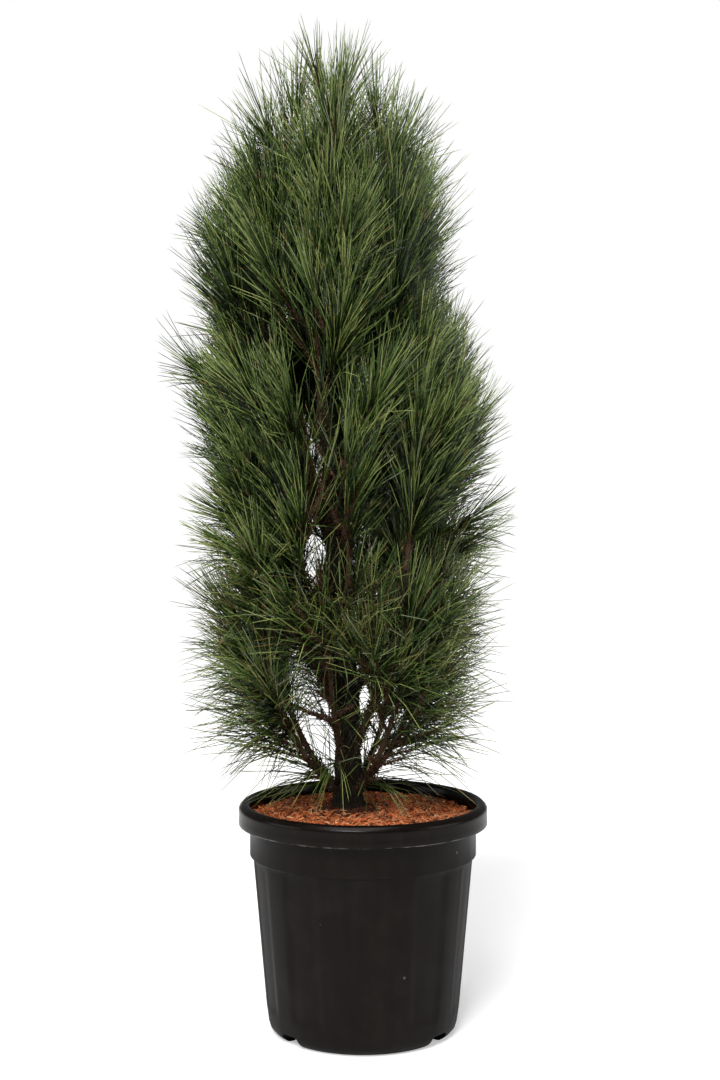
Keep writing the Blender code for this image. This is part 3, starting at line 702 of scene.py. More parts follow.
def lathe(name, profile, sides):
    """A closed mesh turned about Z from a profile that starts and ends on the axis."""
    rings = np.array(profile[1:-1])
    turns = 2.0 * math.pi * np.arange(sides) / sides
    x = rings[:, :1] * np.cos(turns)
    y = rings[:, :1] * np.sin(turns)
    z = np.repeat(rings[:, 1:], sides, axis=1)
    points = np.stack([x, y, z], axis=-1).reshape(-1, 3).tolist()
    first, last = len(points), len(points) + 1
    points += [(0.0, 0.0, profile[0][1]), (0.0, 0.0, profile[-1][1])]
    faces = []
    for side in range(sides):
        after = (side + 1) % sides
        faces.append((first, side, after))
        for ring in range(len(rings) - 1):
            low, high = ring * sides, (ring + 1) * sides
            faces.append((low + side, high + side, high + after, low + after))
        end = (len(rings) - 1) * sides
        faces.append((last, end + after, end + side))
    return new_mesh(name, points, faces=faces)


def points_of(mesh):
    """The mesh's points as an array."""
    flat = np.empty(len(mesh.vertices) * 3, np.float32)
    mesh.vertices.foreach_get("co", flat)
    return flat.reshape(-1, 3).astype(float)


def set_points(mesh, points):
    """Put the mesh's points where the array says."""
    mesh.vertices.foreach_set("co", np.asarray(points, np.float32).ravel())
    mesh.update()


def subdivided(profile, longest):
    """The profile with more points on its long straight stretches."""
    finer = [profile[0]]
    for start, end in zip(profile, profile[1:]):
        steps = max(1, math.ceil(math.dist(start, end) / longest))
        for step in range(1, steps + 1):
            share = step / steps
            finer.append(tuple(a + (b - a) * share for a, b in zip(start, end)))
    return finer


def press_flutes(points, depth):
    """Press the upright panels into a pot's body, or into what fills it."""
    radius = np.hypot(points[:, 0], points[:, 1])
    height = points[:, 2]
    full = np.minimum(
        ease((FLUTE_TOP + FLUTE_FADE - height) / FLUTE_FADE),
        ease((height - FLUTE_BOTTOM + FLUTE_FADE) / FLUTE_FADE),
    )
    full = np.where(radius < FOOT_RADIUS, 0.0, full)
    turn = np.arctan2(points[:, 1], points[:, 0]) - math.radians(FRONT + FLUTE_TURN)
    panel = ease((np.cos(FLUTES * turn) + FLUTE_WIDE) / FLUTE_SOFT)
    scale = 1.0 - depth * panel * full / np.maximum(radius, 1e-6)
    points[:, 0] *= scale
    points[:, 1] *= scale
    return points


def pot_profile(settings):
    """The pot's whole section: down the inside, round the lip and down the outside."""
    top, lip = settings.height, settings.lip_radius
    profile = [(0.0, BASE_RISE + WALL), (0.020, BASE_RISE + WALL)]
    profile += [(CORNER_RADIUS - 0.010, BASE_RISE + WALL), (CORNER_RADIUS - 0.005, BASE_RISE + 0.007)]
    profile += [(BODY_FOOT_RADIUS - WALL, FLUTE_BOTTOM), (BODY_TOP_RADIUS - WALL, FLUTE_TOP)]
    profile += [(BODY_TOP_RADIUS - WALL, BAND_BOTTOM), (BAND_RADIUS - WALL, BAND_BOTTOM + 0.010)]
    profile += [(BAND_RADIUS - WALL + 0.0005, top - 0.014)]
    profile += arc((lip - 0.0105, top - 0.0085), 0.0085, 160, 35, 12)
    profile += arc((lip - 0.0095, top - 0.0105), 0.0095, 30, -8, 7)
    profile += [(lip - 0.0006, top - 0.018), (lip - 0.0002, top - 0.026)]
    profile += arc((lip - 0.0013, top - LIP_DEPTH + 0.0013), 0.0013, 0, -180, 7)
    profile += [(lip - 0.0030, top - 0.020), (lip - 0.0050, top - 0.0135)]
    profile += [(BAND_RADIUS + 0.0010, top - 0.0130), (BAND_RADIUS, top - 0.0150)]
    profile += [(BAND_RADIUS - 0.0003, BAND_BOTTOM + 0.0050)]
    profile += arc((BAND_RADIUS - 0.0021, BAND_BOTTOM + 0.0030), 0.0018, 0, -80, 5)
    profile += [(BODY_TOP_RADIUS + 0.0012, BAND_BOTTOM - 0.0002)]
    profile += [(BODY_TOP_RADIUS + 0.0001, BAND_BOTTOM - 0.0022)]
    profile += [(BODY_TOP_RADIUS - 0.0006, FLUTE_TOP), (BODY_FOOT_RADIUS + 0.0008, FLUTE_BOTTOM)]
    profile += [(BODY_FOOT_RADIUS, BODY_FOOT_HEIGHT), (CORNER_RADIUS, CORNER_HEIGHT)]
    profile += [(CORNER_RADIUS - 0.0022, 0.0105), (CORNER_RADIUS - 0.0066, 0.0056)]
    profile += [(FOOT_RADIUS + 0.0040, 0.0012), (FOOT_RADIUS, 0.0), (FOOT_RADIUS - FOOT_WIDTH, 0.0)]
    profile += [(FOOT_RADIUS - FOOT_WIDTH - 0.001, BASE_RISE), (PAD_RADIUS + 0.001, BASE_RISE)]
    profile += [(PAD_RADIUS, 0.0), (0.010, 0.0), (0.0, 0.0)]
    return subdivided(profile, PROFILE_STEP)


def nick_lip(points, settings):
    """Small dents where the lip's lower edge was knocked."""
    foot = settings.height - LIP_DEPTH
    turn = np.degrees(np.arctan2(points[:, 1], points[:, 0])) - FRONT
    near_edge = np.exp(-(((points[:, 2] - foot) / NICK_REACH) ** 2))
    outside = np.hypot(points[:, 0], points[:, 1]) > settings.lip_radius - 0.006
    for azimuth, depth in NICKS:
        apart = (turn - azimuth + 180.0) % 360.0 - 180.0
        points[:, 2] += depth * near_edge * outside * np.exp(-((apart / NICK_WIDTH) ** 2))
    return points


def notch_cutters():
    """Three blocks with rounded tops, as one object, that cut the foot ring."""
    made = bmesh.new()
    for number in NOTCH_TURNS:
        block = bmesh.new()
        bmesh.ops.create_cube(block, size=1.0)
        size = (NOTCH_REACH, NOTCH_WIDTH, 2.0 * NOTCH_HEIGHT)
        bmesh.ops.scale(block, vec=size, verts=block.verts)
        top = [
            edge
            for edge in block.edges
            if all(v.co.z > 0 for v in edge.verts)
            and abs(edge.verts[0].co.y - edge.verts[1].co.y) < 1e-6
        ]
        bmesh.ops.bevel(block, geom=top, offset=NOTCH_ROUND, segments=6, profile=0.5, affect="EDGES")
        turn = math.radians(FRONT + number)
        middle = FOOT_RADIUS + 0.5 * NOTCH_REACH - FOOT_WIDTH - NOTCH_INWARD
        for vertex in block.verts:
            x, y = vertex.co.x + middle, vertex.co.y
            vertex.co.x = x * math.cos(turn) - y * math.sin(turn)
            vertex.co.y = x * math.sin(turn) + y * math.cos(turn)
        mesh = mesh_of("notch", block)
        made.from_mesh(mesh)
        bpy.data.meshes.remove(mesh)
    return linked("notch_cutters", mesh_of("notch_cutters", made))


def trunk_centre(height):
    """The trunk's centre at each height, as an array."""
    height = np.asarray(height, float)
    lean = LEAN * ease((height - LEAN_FROM) / (LEAN_TO - LEAN_FROM))
    return np.stack([TRUNK_X + lean, np.zeros_like(height), height], axis=-1)


def trunk_radius(height):
    """The trunk's radius at each height, with its root flare and a swelling at each bough."""
    height = np.asarray(height, float)
    share = np.clip((height - TRUNK_LOW.z) / (TRUNK_HIGH.z - TRUNK_LOW.z), 0.0, 1.0)
    taper = TRUNK_RADIUS + (TRUNK_TIP_RADIUS - TRUNK_RADIUS) * share**TRUNK_TAPER
    swell = np.zeros_like(taper)
    for bough in BOUGHS:
        away = (height - bough.foot - COLLAR_RISE) / COLLAR_HEIGHT
        swell = np.maximum(swell, COLLAR * np.exp(-away * away))
    return taper * (1.0 + swell) + FLARE * np.exp(-(height - TRUNK_LOW.z) / FLARE_HEIGHT)


def bough_point(bough, share):
    """Points on a bough's line: share 0 is in the trunk, and 1 is the tip of its stem."""
    share = np.asarray(share, float)
    away = bough.spread * (1.0 - np.maximum(0.0, 1.0 - share) ** bough.sweep)
    turn = math.radians(bough.azimuth)
    foot = trunk_centre(bough.foot)
    rise = (bough.tip - bough.foot) * share
    return foot + np.stack([away * math.cos(turn), away * math.sin(turn), rise], axis=-1)


def entry_share(bough):
    """Where along its line a bough enters its foliage."""
    return (bough.entry - bough.foot) / (bough.tip - bough.foot)


def limb_line(bough, steps):
    """The line of a bough from the trunk to where it enters its foliage."""
    return bough_point(bough, np.linspace(0.0, entry_share(bough), steps))


def stem_lines(steps):
    """The line of each mass's stem, by name, with the leader's last."""
    lines = {}
    for bough in BOUGHS:
        entry = entry_share(bough)
        line = bough_point(bough, np.linspace(entry, 1.0, steps))
        middle = trunk_centre(bough.foot)[:2]
        away = line[:, :2] - middle
        first = np.hypot(*away[0])
        reach = np.hypot(away[:, 0], away[:, 1])
        drawn = first + (reach - first) * STEM_DRAW
        line[:, :2] = middle + away * (drawn / reach)[:, None]
        lines[bough.name] = line
    leader = np.repeat(trunk_centre(TRUNK_HIGH.z)[None], steps, axis=0)
    leader[:, 2] = np.linspace(TRUNK_HIGH.z, LEADER_TIP, steps)
    lines["leader"] = leader
    return lines


def tier_of(name):
    """The tier of the crown that a mass belongs to."""
    return "top" if name == "leader" else name.split("_")[0]


def group_of(name):
    """The piece that a mass's needles are joined in: by tier, and front or back."""
    tier = tier_of(name)
    if tier == "top":
        return "top"
    azimuth = next(bough.azimuth for bough in BOUGHS if bough.name == name)
    return f"{tier}_back" if 0 < azimuth % 360 < 180 else f"{tier}_front"


def distances(points, line):
    """The distance from each point to the nearest place on a line."""
    start, span = line[:-1], line[1:] - line[:-1]
    best = np.full(len(points), np.inf)
    for foot, way in zip(start, span):
        apart = points - foot
        share = np.clip(apart @ way / (way @ way), 0.0, 1.0)
        best = np.minimum(best, ((apart - share[:, None] * way) ** 2).sum(axis=1))
    return np.sqrt(best)


class Crown:
    """What stands in the crown, so that each mass's needles keep to their own space."""

    def __init__(self):
        self.stems = list(stem_lines(ROOM_STEM_STEPS).values())
        self.limbs = [(limb_line(bough, ROOM_LIMB_STEPS), bough.girth) for bough in BOUGHS]

    def from_limbs(self, points):
        """The distance of each point from the bark of trunk and boughs."""
        height = np.clip(points[:, 2], TRUNK_LOW.z, TRUNK_HIGH.z)
        middle = trunk_centre(height)
        room = np.linalg.norm(points - middle, axis=1) - trunk_radius(height)
        for line, girth in self.limbs:
            room = np.minimum(room, distances(points, line) - girth)
        return room

    def from_masses(self, points, mine):
        """How far each point is inside its own mass's space, between the stems."""
        away = np.stack([distances(points, stem) for stem in self.stems], axis=1)
        rows = np.arange(len(points))
        own = away[rows, mine]
        away[rows, mine] = np.inf
        return 0.5 * (away.min(axis=1) - own)

    def above_pot(self, points):
        """The height of each point above the pot's lip or the mulch."""
        radius = np.hypot(points[:, 0], points[:, 1])
        over_lip = abs(radius - POT_HIGH.x) < LIP_MARGIN
        return points[:, 2] - np.where(over_lip, POT_HIGH.z, MIX_HIGH.z)

    def room(self, points, mine, mingle):
        """The least of those distances, where a needle may mingle with the next mass."""
        room = np.minimum(self.from_limbs(points), self.from_masses(points, mine) + mingle)
        return np.minimum(room, self.above_pot(points))


def waves(points):
    """A smooth, random relief at each point, between -1 and 1."""
    place = (points / (WAVE_SIZE, WAVE_SIZE, WAVE_TALL * WAVE_SIZE)).tolist()
    return np.array([noise.noise(Vector(point)) for point in place])


def outside_crown(points):
    """How far each point lies outside the crown's outline."""
    heights, widths, middles = zip(*CROWN_OUTLINE)
    height = points[:, 2]
    radius = np.hypot(points[:, 0] - np.interp(height, heights, middles), points[:, 1])
    over_top = np.maximum(0.0, height - heights[-1])
    return radius - np.interp(height, heights, widths) + OVER_TOP * over_top


def unit(vectors):
    """The vectors at length 1."""
    return vectors / np.maximum(np.linalg.norm(vectors, axis=-1, keepdims=True), 1e-9)


def places_on(line, shares):
    """The places at shares of a line's points, and the line's direction there."""
    at = np.clip(shares, 0.0, 1.0) * (len(line) - 1)
    below = np.minimum(at.astype(int), len(line) - 2)
    span = line[below + 1] - line[below]
    return line[below] + span * (at - below)[:, None], unit(span)


def around(directions, spreads, turns):
    """Unit vectors at an angle to each direction, turned about it."""
    helper = np.where(np.abs(directions[:, 1:2]) > 0.95, [[1.0, 0.0, 0.0]], [[0.0, 1.0, 0.0]])
    side = unit(np.cross(directions, helper))
    other = np.cross(directions, side)
    flat = side * np.cos(turns)[:, None] + other * np.sin(turns)[:, None]
    return unit(directions * np.cos(spreads)[:, None] + flat * np.sin(spreads)[:, None])


def curve_through(root, bend, tip, steps):
    """A smooth line from root to tip that is drawn towards bend."""
    share = np.linspace(0.0, 1.0, steps)[:, None]
    return root * (1 - share) ** 2 + bend * 2 * share * (1 - share) + tip * share**2


Shoot = namedtuple("Shoot", "mass line pairs droop girth tip_girth length spread start")
Needles = namedtuple("Needles", "root direction length bend mass tint tint_tip dry")


def side_shoot(stem, share, turn, lean, upright, length):
    """The line of a side shoot, which leaves its stem and turns upright."""
    root, direction = places_on(stem, np.array([share]))
    flat = np.array([math.cos(turn), math.sin(turn), 0.0])
    first = unit(direction[0] * math.cos(lean) + flat * math.sin(lean))
    bend = root[0] + first * length * SHOOT_BEND
    up = unit(first + np.array([0.0, 0.0, upright]))
    return curve_through(root[0], bend, bend + up * length * (1.0 - SHOOT_BEND), SHOOT_STEPS)


def free_shoot(stem, share, turn, lean, tier, length, number, crown, draw):
    """A side shoot that keeps off the limbs and the next masses, or none."""
    mass = np.full(SHOOT_STEPS - SHOOT_FOOT, number)
    for _ in range(SHOOT_TRIES):
        line = side_shoot(stem, share, turn, lean, tier.upright, length)
        free = crown.room(line[SHOOT_FOOT:], mass, np.full(len(mass), SHOOT_MINGLE)).min()
        if free > SHOOT_AIR and outside_crown(line[-1:])[0] < -SHOOT_INSIDE:
            return line
        turn += draw.uniform(*TRY_TURNS)
        length *= TRY_SHORTER
    return None


def shoots_of(name, number, stem, outward, settings, crown):
    """All shoots of one mass: its stem, the side shoots and twiglets, and what hangs low."""
    draw = np.random.default_rng(SEED * 1000 + number)
    tier = TIERS[tier_of(name)]
    amount = tier.density * THINNED.get(name, 1.0)

    def shoot(line, kind, pairs, droop=0.0):
        pairs = max(FEWEST_PAIRS, int(round(pairs * amount)))
        kind = kind._replace(length=kind.length * settings.length)
        return Shoot(number, line, pairs, droop, *kind)

    def of_tier(kind):
        return kind._replace(spread=tier.spread + kind.spread)

    start = BARE.get(name, BARE_FOOT)
    slim = TOP_SLIM if tier is TIERS["top"] else 1.0
    own = Kind(slim * ENTRY_RADIUS, slim * TIP_RADIUS, 1.0, tier.spread, start)
    shoots = [shoot(stem, own, settings.stem_pairs)]
    play = math.radians(ANGLE_PLAY)
    for count in range(tier.shoots):
        share = SHOOTS_FROM + (SHOOTS_TO - SHOOTS_FROM) * (count + 0.5) / tier.shoots
        share = max(share, start)
        turn = outward + count * GOLDEN_ANGLE + draw.uniform(-TURN_PLAY, TURN_PLAY)
        lean = math.radians(tier.lean) + draw.uniform(-play, play)
        length = tier.reach * draw.uniform(*SHOOT_LENGTHS) * (1.0 - SHOOT_TAPER * share)
        line = free_shoot(stem, share, turn, lean, tier, length, number, crown, draw)
        if line is None:
            continue
        shoots.append(shoot(line, of_tier(SIDE_SHOOT), settings.shoot_pairs))
        way = 1.0 if draw.random() < 0.5 else -1.0
        for least, most in TWIGLETS:
            place = draw.uniform(least, most)
            turned = turn + way * draw.uniform(*TWIGLET_TURNS)
            way = -way
            reach = TWIGLET_SHARE * length
            twiglet = free_shoot(line, place, turned, lean, tier, reach, number, crown, draw)
            if twiglet is not None:
                shoots.append(shoot(twiglet, of_tier(TWIGLET), settings.twiglet_pairs))
    for mass, place, azimuth, reach, pairs, length in SIDE_PLUMES:
        if mass == name:
            turn, lean = math.radians(azimuth), math.radians(PLUME_LEAN)
            line = side_shoot(stem, place, turn, lean, PLUME_UPRIGHT, reach)
            shoots.append(shoot(line, PLUME._replace(length=length), pairs))
    if name.startswith("low"):
        bough = next(bough for bough in BOUGHS if bough.name == name)
        limb = limb_line(bough, LIMB_STEPS)
        shoots.append(shoot(limb, OLD_LIMB, LIMB_PAIRS))
        for turn, place in SKIRT:
            turn = outward + turn + draw.uniform(-TURN_PLAY, TURN_PLAY)
            reach = SKIRT_LENGTH * draw.uniform(*SKIRT_LENGTHS)
            line = side_shoot(stem, place, turn, math.radians(SKIRT_LEAN), SKIRT_UPRIGHT, reach)
            shoots.append(shoot(line, SKIRT_TWIG, SKIRT_PAIRS))
        for fan, azimuth, height, pairs in FANS:
            if fan == name:
                place = height / (bough.entry - bough.foot)
                turn, lean = math.radians(azimuth), math.radians(FAN_LEAN)
                line = side_shoot(limb, place, turn, lean, 0.0, FAN_LENGTH)
                shoots.append(shoot(line, FAN, pairs / amount, FAN_DROOP))
    return shoots


def needles_on(shoot, tier, painted_shade, draw):
    """Pairs of needles up a shoot by the golden angle, nearly upright at its tip."""
    count, double = shoot.pairs, 2 * shoot.pairs
    steps = (np.arange(count) + 0.5) / count
    share = shoot.start + (1.0 - shoot.start) * (1.0 - (1.0 - steps) ** (1.0 / (1.0 + tier.thins)))
    root, along = places_on(shoot.line, share)
    spread = np.radians(shoot.spread + (SPREAD_TIP - shoot.spread) * share)
    spread = np.abs(spread + draw.normal(0.0, math.radians(NEEDLE_PLAY), count))
    turn = draw.uniform(0.0, 2.0 * math.pi) + np.arange(count) * GOLDEN_ANGLE
    turn = turn + draw.uniform(-TURN_PLAY, TURN_PLAY, count)
    outward = root[:, :2] - trunk_centre(root[:, 2])[:, :2]
    outward *= tier.push / np.maximum(np.linalg.norm(outward, axis=1, keepdims=True), PUSH_FROM)
    lift = tier.lift - DROOP_FALL * shoot.droop
    flow = np.concatenate([outward, np.full((count, 1), lift)], axis=1)
    middle = np.repeat(unit(around(along, spread, turn) + flow), 2, axis=0)
    apart = np.radians(draw.normal(PAIR_ANGLE, PAIR_PLAY, double))
    pair_turn = np.repeat(draw.uniform(0.0, 2.0 * math.pi, count), 2)
    pair_turn[1::2] += math.pi
    direction = around(middle, apart, pair_turn)
    length = np.repeat(shoot.length * draw.uniform(*PAIR_LENGTHS, count), 2)
    length = length * draw.uniform(*TWIN_LENGTHS, double)
    age = np.repeat(1.0 - share, 2)
    flat = np.hypot(direction[:, 0], direction[:, 1])
    sag = tier.sag * (NEW_SAG + (1.0 - NEW_SAG) * age) * flat * draw.uniform(*SAG_PLAY, double)
    lax = draw.random(double) < tier.lax * (LAX_NEW + age)
    sag = np.where(lax, sag + draw.uniform(*LAX_SAG, double) * flat, sag)
    sag += shoot.droop * draw.uniform(*DROOP_PLAY, double)
    bend = np.zeros((double, 3))
    bend[:, 2] = -sag
    sideways = draw.uniform(0.0, CROOK_TURNS, double)
    across = around(direction, np.full(double, 0.5 * math.pi), sideways)
    bend += across * np.abs(draw.normal(0.0, CROOK, double))[:, None]
    bend += across * (lax * draw.uniform(0.0, LAX_CROOK, double))[:, None]
    own = FAN_TINT if shoot.droop else draw.choice(len(TINTS), p=tier.tints)
    others = draw.choice(len(TINTS), double, p=tier.tints)
    tint = np.where(draw.random(double) < OWN_TINT, own, others)
    # Painted shade: in shaded masses, some needles are a tint darker
    tint = np.where(draw.random(double) < painted_shade, np.array(BASE_TINTS)[tint], tint)
    # Painted shade: needles low on a shoot, inside the plume, turn deep green
    tint_tip = np.where(draw.random(double) < LOW_NEEDLE_SHADE[0] * age - LOW_NEEDLE_SHADE[1], 0, tint)
    # Painted shade: most needles' inner halves are a tint darker
    shaded = draw.random(double) < SHADED
    tint = np.where(shaded, np.array(BASE_TINTS)[tint_tip], tint_tip)
    dry = draw.random(double) < DRY_NEW + DRY_OLD * age
    mass = np.full(double, shoot.mass)
    root = np.repeat(root, 2, axis=0)
    return Needles(root, direction, length, bend * length[:, None], mass, tint, tint_tip, dry)


def turned_up(needles, bulge, draw):
    """Needles that pass the crown's outline turn up and are shorter; a few stay outside it."""
    direction, length, bend = needles.direction.copy(), needles.length.copy(), needles.bend.copy()
    height = needles.root[:, 2]
    ragged = draw.exponential(1.0, len(length)) * np.interp(height, *zip(*RAGGED))
    depth, above = bulge
    slack = depth * (height > above) + np.minimum(ragged, RAGGED_MOST)
    slack += WAVES * waves(needles.root + direction * length[:, None])
    rise = TURN_RISE * ease((height - TURNS_FROM) / (TURNS_FULL - TURNS_FROM))
    for turn in range(TURNS_UP + 1):
        place = needles.root + direction * (OUTLINE_AT * length[:, None]) + bend * OUTLINE_AT**2
        over = outside_crown(place) > slack
        if turn == TURNS_UP:
            break
        direction[over, 2] += rise[over]
        direction[over] = unit(direction[over])
        length[over] *= TURN_SHORTER
        bend[over] *= TURN_STRAIGHTER
    turned = needles._replace(direction=direction, length=length, bend=bend)
    return Needles(*(field[~over] for field in turned))


def in_gaps(points, luck, settings):
    """Whether each point stands in one of the gaps, as the camera sees it."""
    scale = settings.distance / (settings.distance + points[:, 1])
    x = points[:, 0] * scale
    z = settings.eye + (points[:, 2] - settings.eye) * scale
    hidden = np.zeros(len(points), bool)
    for middle, height, half_width, half_height, share, back in GAPS:
        inside = ((x - middle) / half_width) ** 2 + ((z - height) / half_height) ** 2 < 1.0
        hidden |= inside & (points[:, 1] < back) & (luck > share)
    return hidden


def keeping_clear(needles, crown, draw, stage):
    """The needles that stay in their own space, off the limbs, above the pot and out of gaps."""

    def reach(step):
        return needles.root + needles.direction * (needles.length * step)[:, None] + needles.bend * step**2

    free = np.full(len(needles.root), 1.0)
    luck = draw.random(len(needles.root))
    tip = reach(1.0)
    free[draw.random(len(tip)) > np.interp(tip[:, 2], *zip(*FULLNESS))] = 0.0
    for step in NEEDLE_STEPS:
        place = reach(step)
        mingle = MINGLE_FOOT + (MINGLE_TIP - MINGLE_FOOT) * step
        free = np.minimum(free, crown.room(place, needles.mass, mingle))
        free[in_gaps(place, luck, stage)] = 0.0
    kept = (free > NEEDLE_AIR) & ((tip > FURTHEST[0]) & (tip < FURTHEST[1])).all(axis=1)
    return Needles(*(field[kept] for field in needles))


def spike_mesh(name, rings, sides=3):
    """A slender spike of unit length along Z, from rings of share along it and width."""
    points = [
        (width * math.cos(turn), width * math.sin(turn), share)
        for share, width in rings
        for turn in (2.0 * math.pi * side / sides for side in range(sides))
    ]
    faces = [tuple(reversed(range(sides)))]
    for ring in range(len(rings) - 1):
        faces += band(ring * sides, (ring + 1) * sides, sides)
    end = (len(rings) - 1) * sides
    faces += [(end + side, end + (side + 1) % sides, len(points)) for side in range(sides)]
    mesh = new_mesh(name, [*points, (0.0, 0.0, 1.0)], faces=faces)
    mesh.shade_smooth()
    store(mesh, "along", "FLOAT", [*(point[2] for point in points), 1.0])
    return mesh


def spikes_tree(materials, dry_tips):
    """Geometry Nodes: a spike on each point, turned, sized and bent by what the point carries.

    Each outer half has a tint of its own. Where the tips are dry, some spikes end in the last one.
    """
    inputs = (("Spike", "Object"), ("Dry spike", "Object"), ("Radius", "Float", 0.001))
    tree, given = Nodes.geometry("Spikes on shoots", inputs, materials)
    radius = given["Radius"]
    ways = {"Vector": tree.attribute("direction", "FLOAT_VECTOR")}
    turned = tree.get("FunctionNodeAlignRotationToVector", ways, axis="Z")
    size = tree.get("ShaderNodeCombineXYZ", {"X": radius, "Y": radius, "Z": tree.attribute("length")})
    dry = tree.attribute("dry", "BOOLEAN")
    fresh = tree.get("FunctionNodeBooleanMath", {0: dry}, operation="NOT")
    both = tree.add("GeometryNodeJoinGeometry")
    for label, chosen in (("Spike", fresh), ("Dry spike", dry)):
        spike = tree.get("GeometryNodeObjectInfo", {"Object": given[label]}, "Geometry")
        feeds = {"Points": given["Geometry"], "Selection": chosen, "Instance": spike}
        feeds.update({"Rotation": turned, "Scale": size})
        tree.feed(both.inputs[0], tree.get("GeometryNodeInstanceOnPoints", feeds))
    real = tree.get("GeometryNodeRealizeInstances", {"Geometry": both.outputs[0]})
    along = tree.attribute("along")
    square = tree.maths("MULTIPLY", along, along)
    bend = tree.vector("SCALE", tree.attribute("bend", "FLOAT_VECTOR"), square)
    shown = tree.get("GeometryNodeSetPosition", {"Geometry": real, "Offset": bend})
    outer = tree.compare("FLOAT", "GREATER_THAN", along, OUTER_HALF)
    tint = tree.switch(outer, tree.attribute("tint", "INT"), tree.attribute("tint_tip", "INT"))
    for number, label in enumerate(materials):
        chosen = tree.compare("INT", "EQUAL", tint, number)
        if dry_tips and number == len(materials) - 1:
            end = tree.compare("FLOAT", "GREATER_THAN", along, DRY_END)
            chosen = tree.get("FunctionNodeBooleanMath", {0: end, 1: dry}, operation="AND")
        shown = tree.painted(shown, chosen, given[label])
    tree.add("NodeGroupOutput", {"Geometry": shown})
    return tree.tree


def limb_tree():
    """Geometry Nodes: a round limb along each line, with bark plates parted by furrows."""
    inputs = (("Sides", "Int", 24), ("Relief", "Float", 0.001), ("Plate size", "Float", 0.008))
    tree, given = Nodes.geometry("Bark limb", inputs, ("Material",))
    section = tree.get("GeometryNodeCurvePrimitiveCircle", {"Resolution": given["Sides"], "Radius": 1.0})
    line = tree.get("GeometryNodeMeshToCurve", {"Mesh": given["Geometry"]})
    feeds = {"Curve": line, "Profile Curve": section, "Scale": tree.attribute("girth"), "Fill Caps": True}
    limb = tree.get("GeometryNodeCurveToMesh", feeds)
    place = tree.vector("MULTIPLY", tree.get("GeometryNodeInputPosition"), PLATE_STRETCH)
    furrows = tree.furrows(place, tree.maths("DIVIDE", 1.0, given["Plate size"]))
    plates = tree.ranged(furrows, 0.0, 0.22, -1.0, 0.0, interpolation_type="SMOOTHSTEP")
    rough = tree.ranged(tree.cloud(place, scale=420.0, detail=3.0), 0.3, 0.7, -0.5, 0.5)
    depth = tree.maths("MULTIPLY", tree.maths("ADD", plates, rough), given["Relief"])
    push = tree.vector("SCALE", tree.get("GeometryNodeInputNormal"), depth)
    moved = tree.get("GeometryNodeSetPosition", {"Geometry": limb, "Offset": push})
    smooth = tree.get("GeometryNodeSetShadeSmooth", {"Geometry": moved})
    real = tree.get("GeometryNodeRealizeInstances", {"Geometry": smooth})
    tree.add("NodeGroupOutput", {"Geometry": tree.painted(real, True, given["Material"])})
    return tree.tree


def lines_mesh(name, lines, girths):
    """One mesh of open lines, each point with its girth."""
    edges, first = [], 0
    for line in lines:
        edges += [(first + i, first + i + 1) for i in range(len(line) - 1)]
        first += len(line)
    mesh = new_mesh(name, np.concatenate(lines).tolist(), edges)
    store(mesh, "girth", "FLOAT", np.concatenate(girths))
    return mesh


def spray_mesh(name, needles):
    """A mesh of loose points, one for each needle, that carries what the tree reads."""
    mesh = new_mesh(name, needles.root.tolist())
    kinds = {"direction": "FLOAT_VECTOR", "bend": "FLOAT_VECTOR", "length": "FLOAT"}
    kinds.update({"tint": "INT", "tint_tip": "INT", "dry": "BOOLEAN"})
    for label, kind in kinds.items():
        store(mesh, label, kind, getattr(needles, label))
    return mesh


def weathering_tree():
    """Shader group: dust that settles in soft patches, and a few specks."""
    inputs = (
        ("Patch size", "Float", 0.05), ("Speck size", "Float", 0.004),
        ("Patches", "Float", 0.5), ("Specks", "Float", 0.1),
    )
    tree, given = Nodes.group("Weathering", "Shader", inputs, (("Dust", "Float"), ("Speck", "Float")))
    place = tree.object_place()
    cloud = tree.cloud(place, tree.maths("DIVIDE", 1.0, given["Patch size"]), 5.0, 0.62)
    soft = tree.ranged(cloud, 0.45, 0.75, interpolation_type="SMOOTHSTEP")
    fine = tree.maths("DIVIDE", 1.0, given["Speck size"])
    cells = tree.add("ShaderNodeTexVoronoi", {"Vector": place, "Scale": fine}).outputs
    dot = tree.ranged(cells["Distance"], 0.22, 0.10)
    lone = tree.get("ShaderNodeSeparateColor", {"Color": cells["Color"]})
    rare = tree.maths("LESS_THAN", lone, given["Specks"])
    dust = tree.maths("MULTIPLY", soft, given["Patches"])
    tree.add("NodeGroupOutput", {"Dust": dust, "Speck": tree.maths("MULTIPLY", dot, rare)})
    return tree.tree


def new_material(name, roughness, specular=0.5):
    """A material with a Principled shader, its nodes and that shader's inputs."""
    material = bpy.data.materials.new(name)
    material.use_nodes = True
    shader = material.node_tree.nodes["Principled BSDF"].inputs
    shader["Roughness"].default_value = roughness
    shader["Specular IOR Level"].default_value = specular
    return material, Nodes(material.node_tree), shader


def plain_material(name, colour, roughness, specular=0.5):
    """A material of one colour, for small pieces whose colours are dealt out by place."""
    material, _, shader = new_material(name, roughness, specular)
    shader["Base Color"].default_value = (*colour, 1.0)
    return material


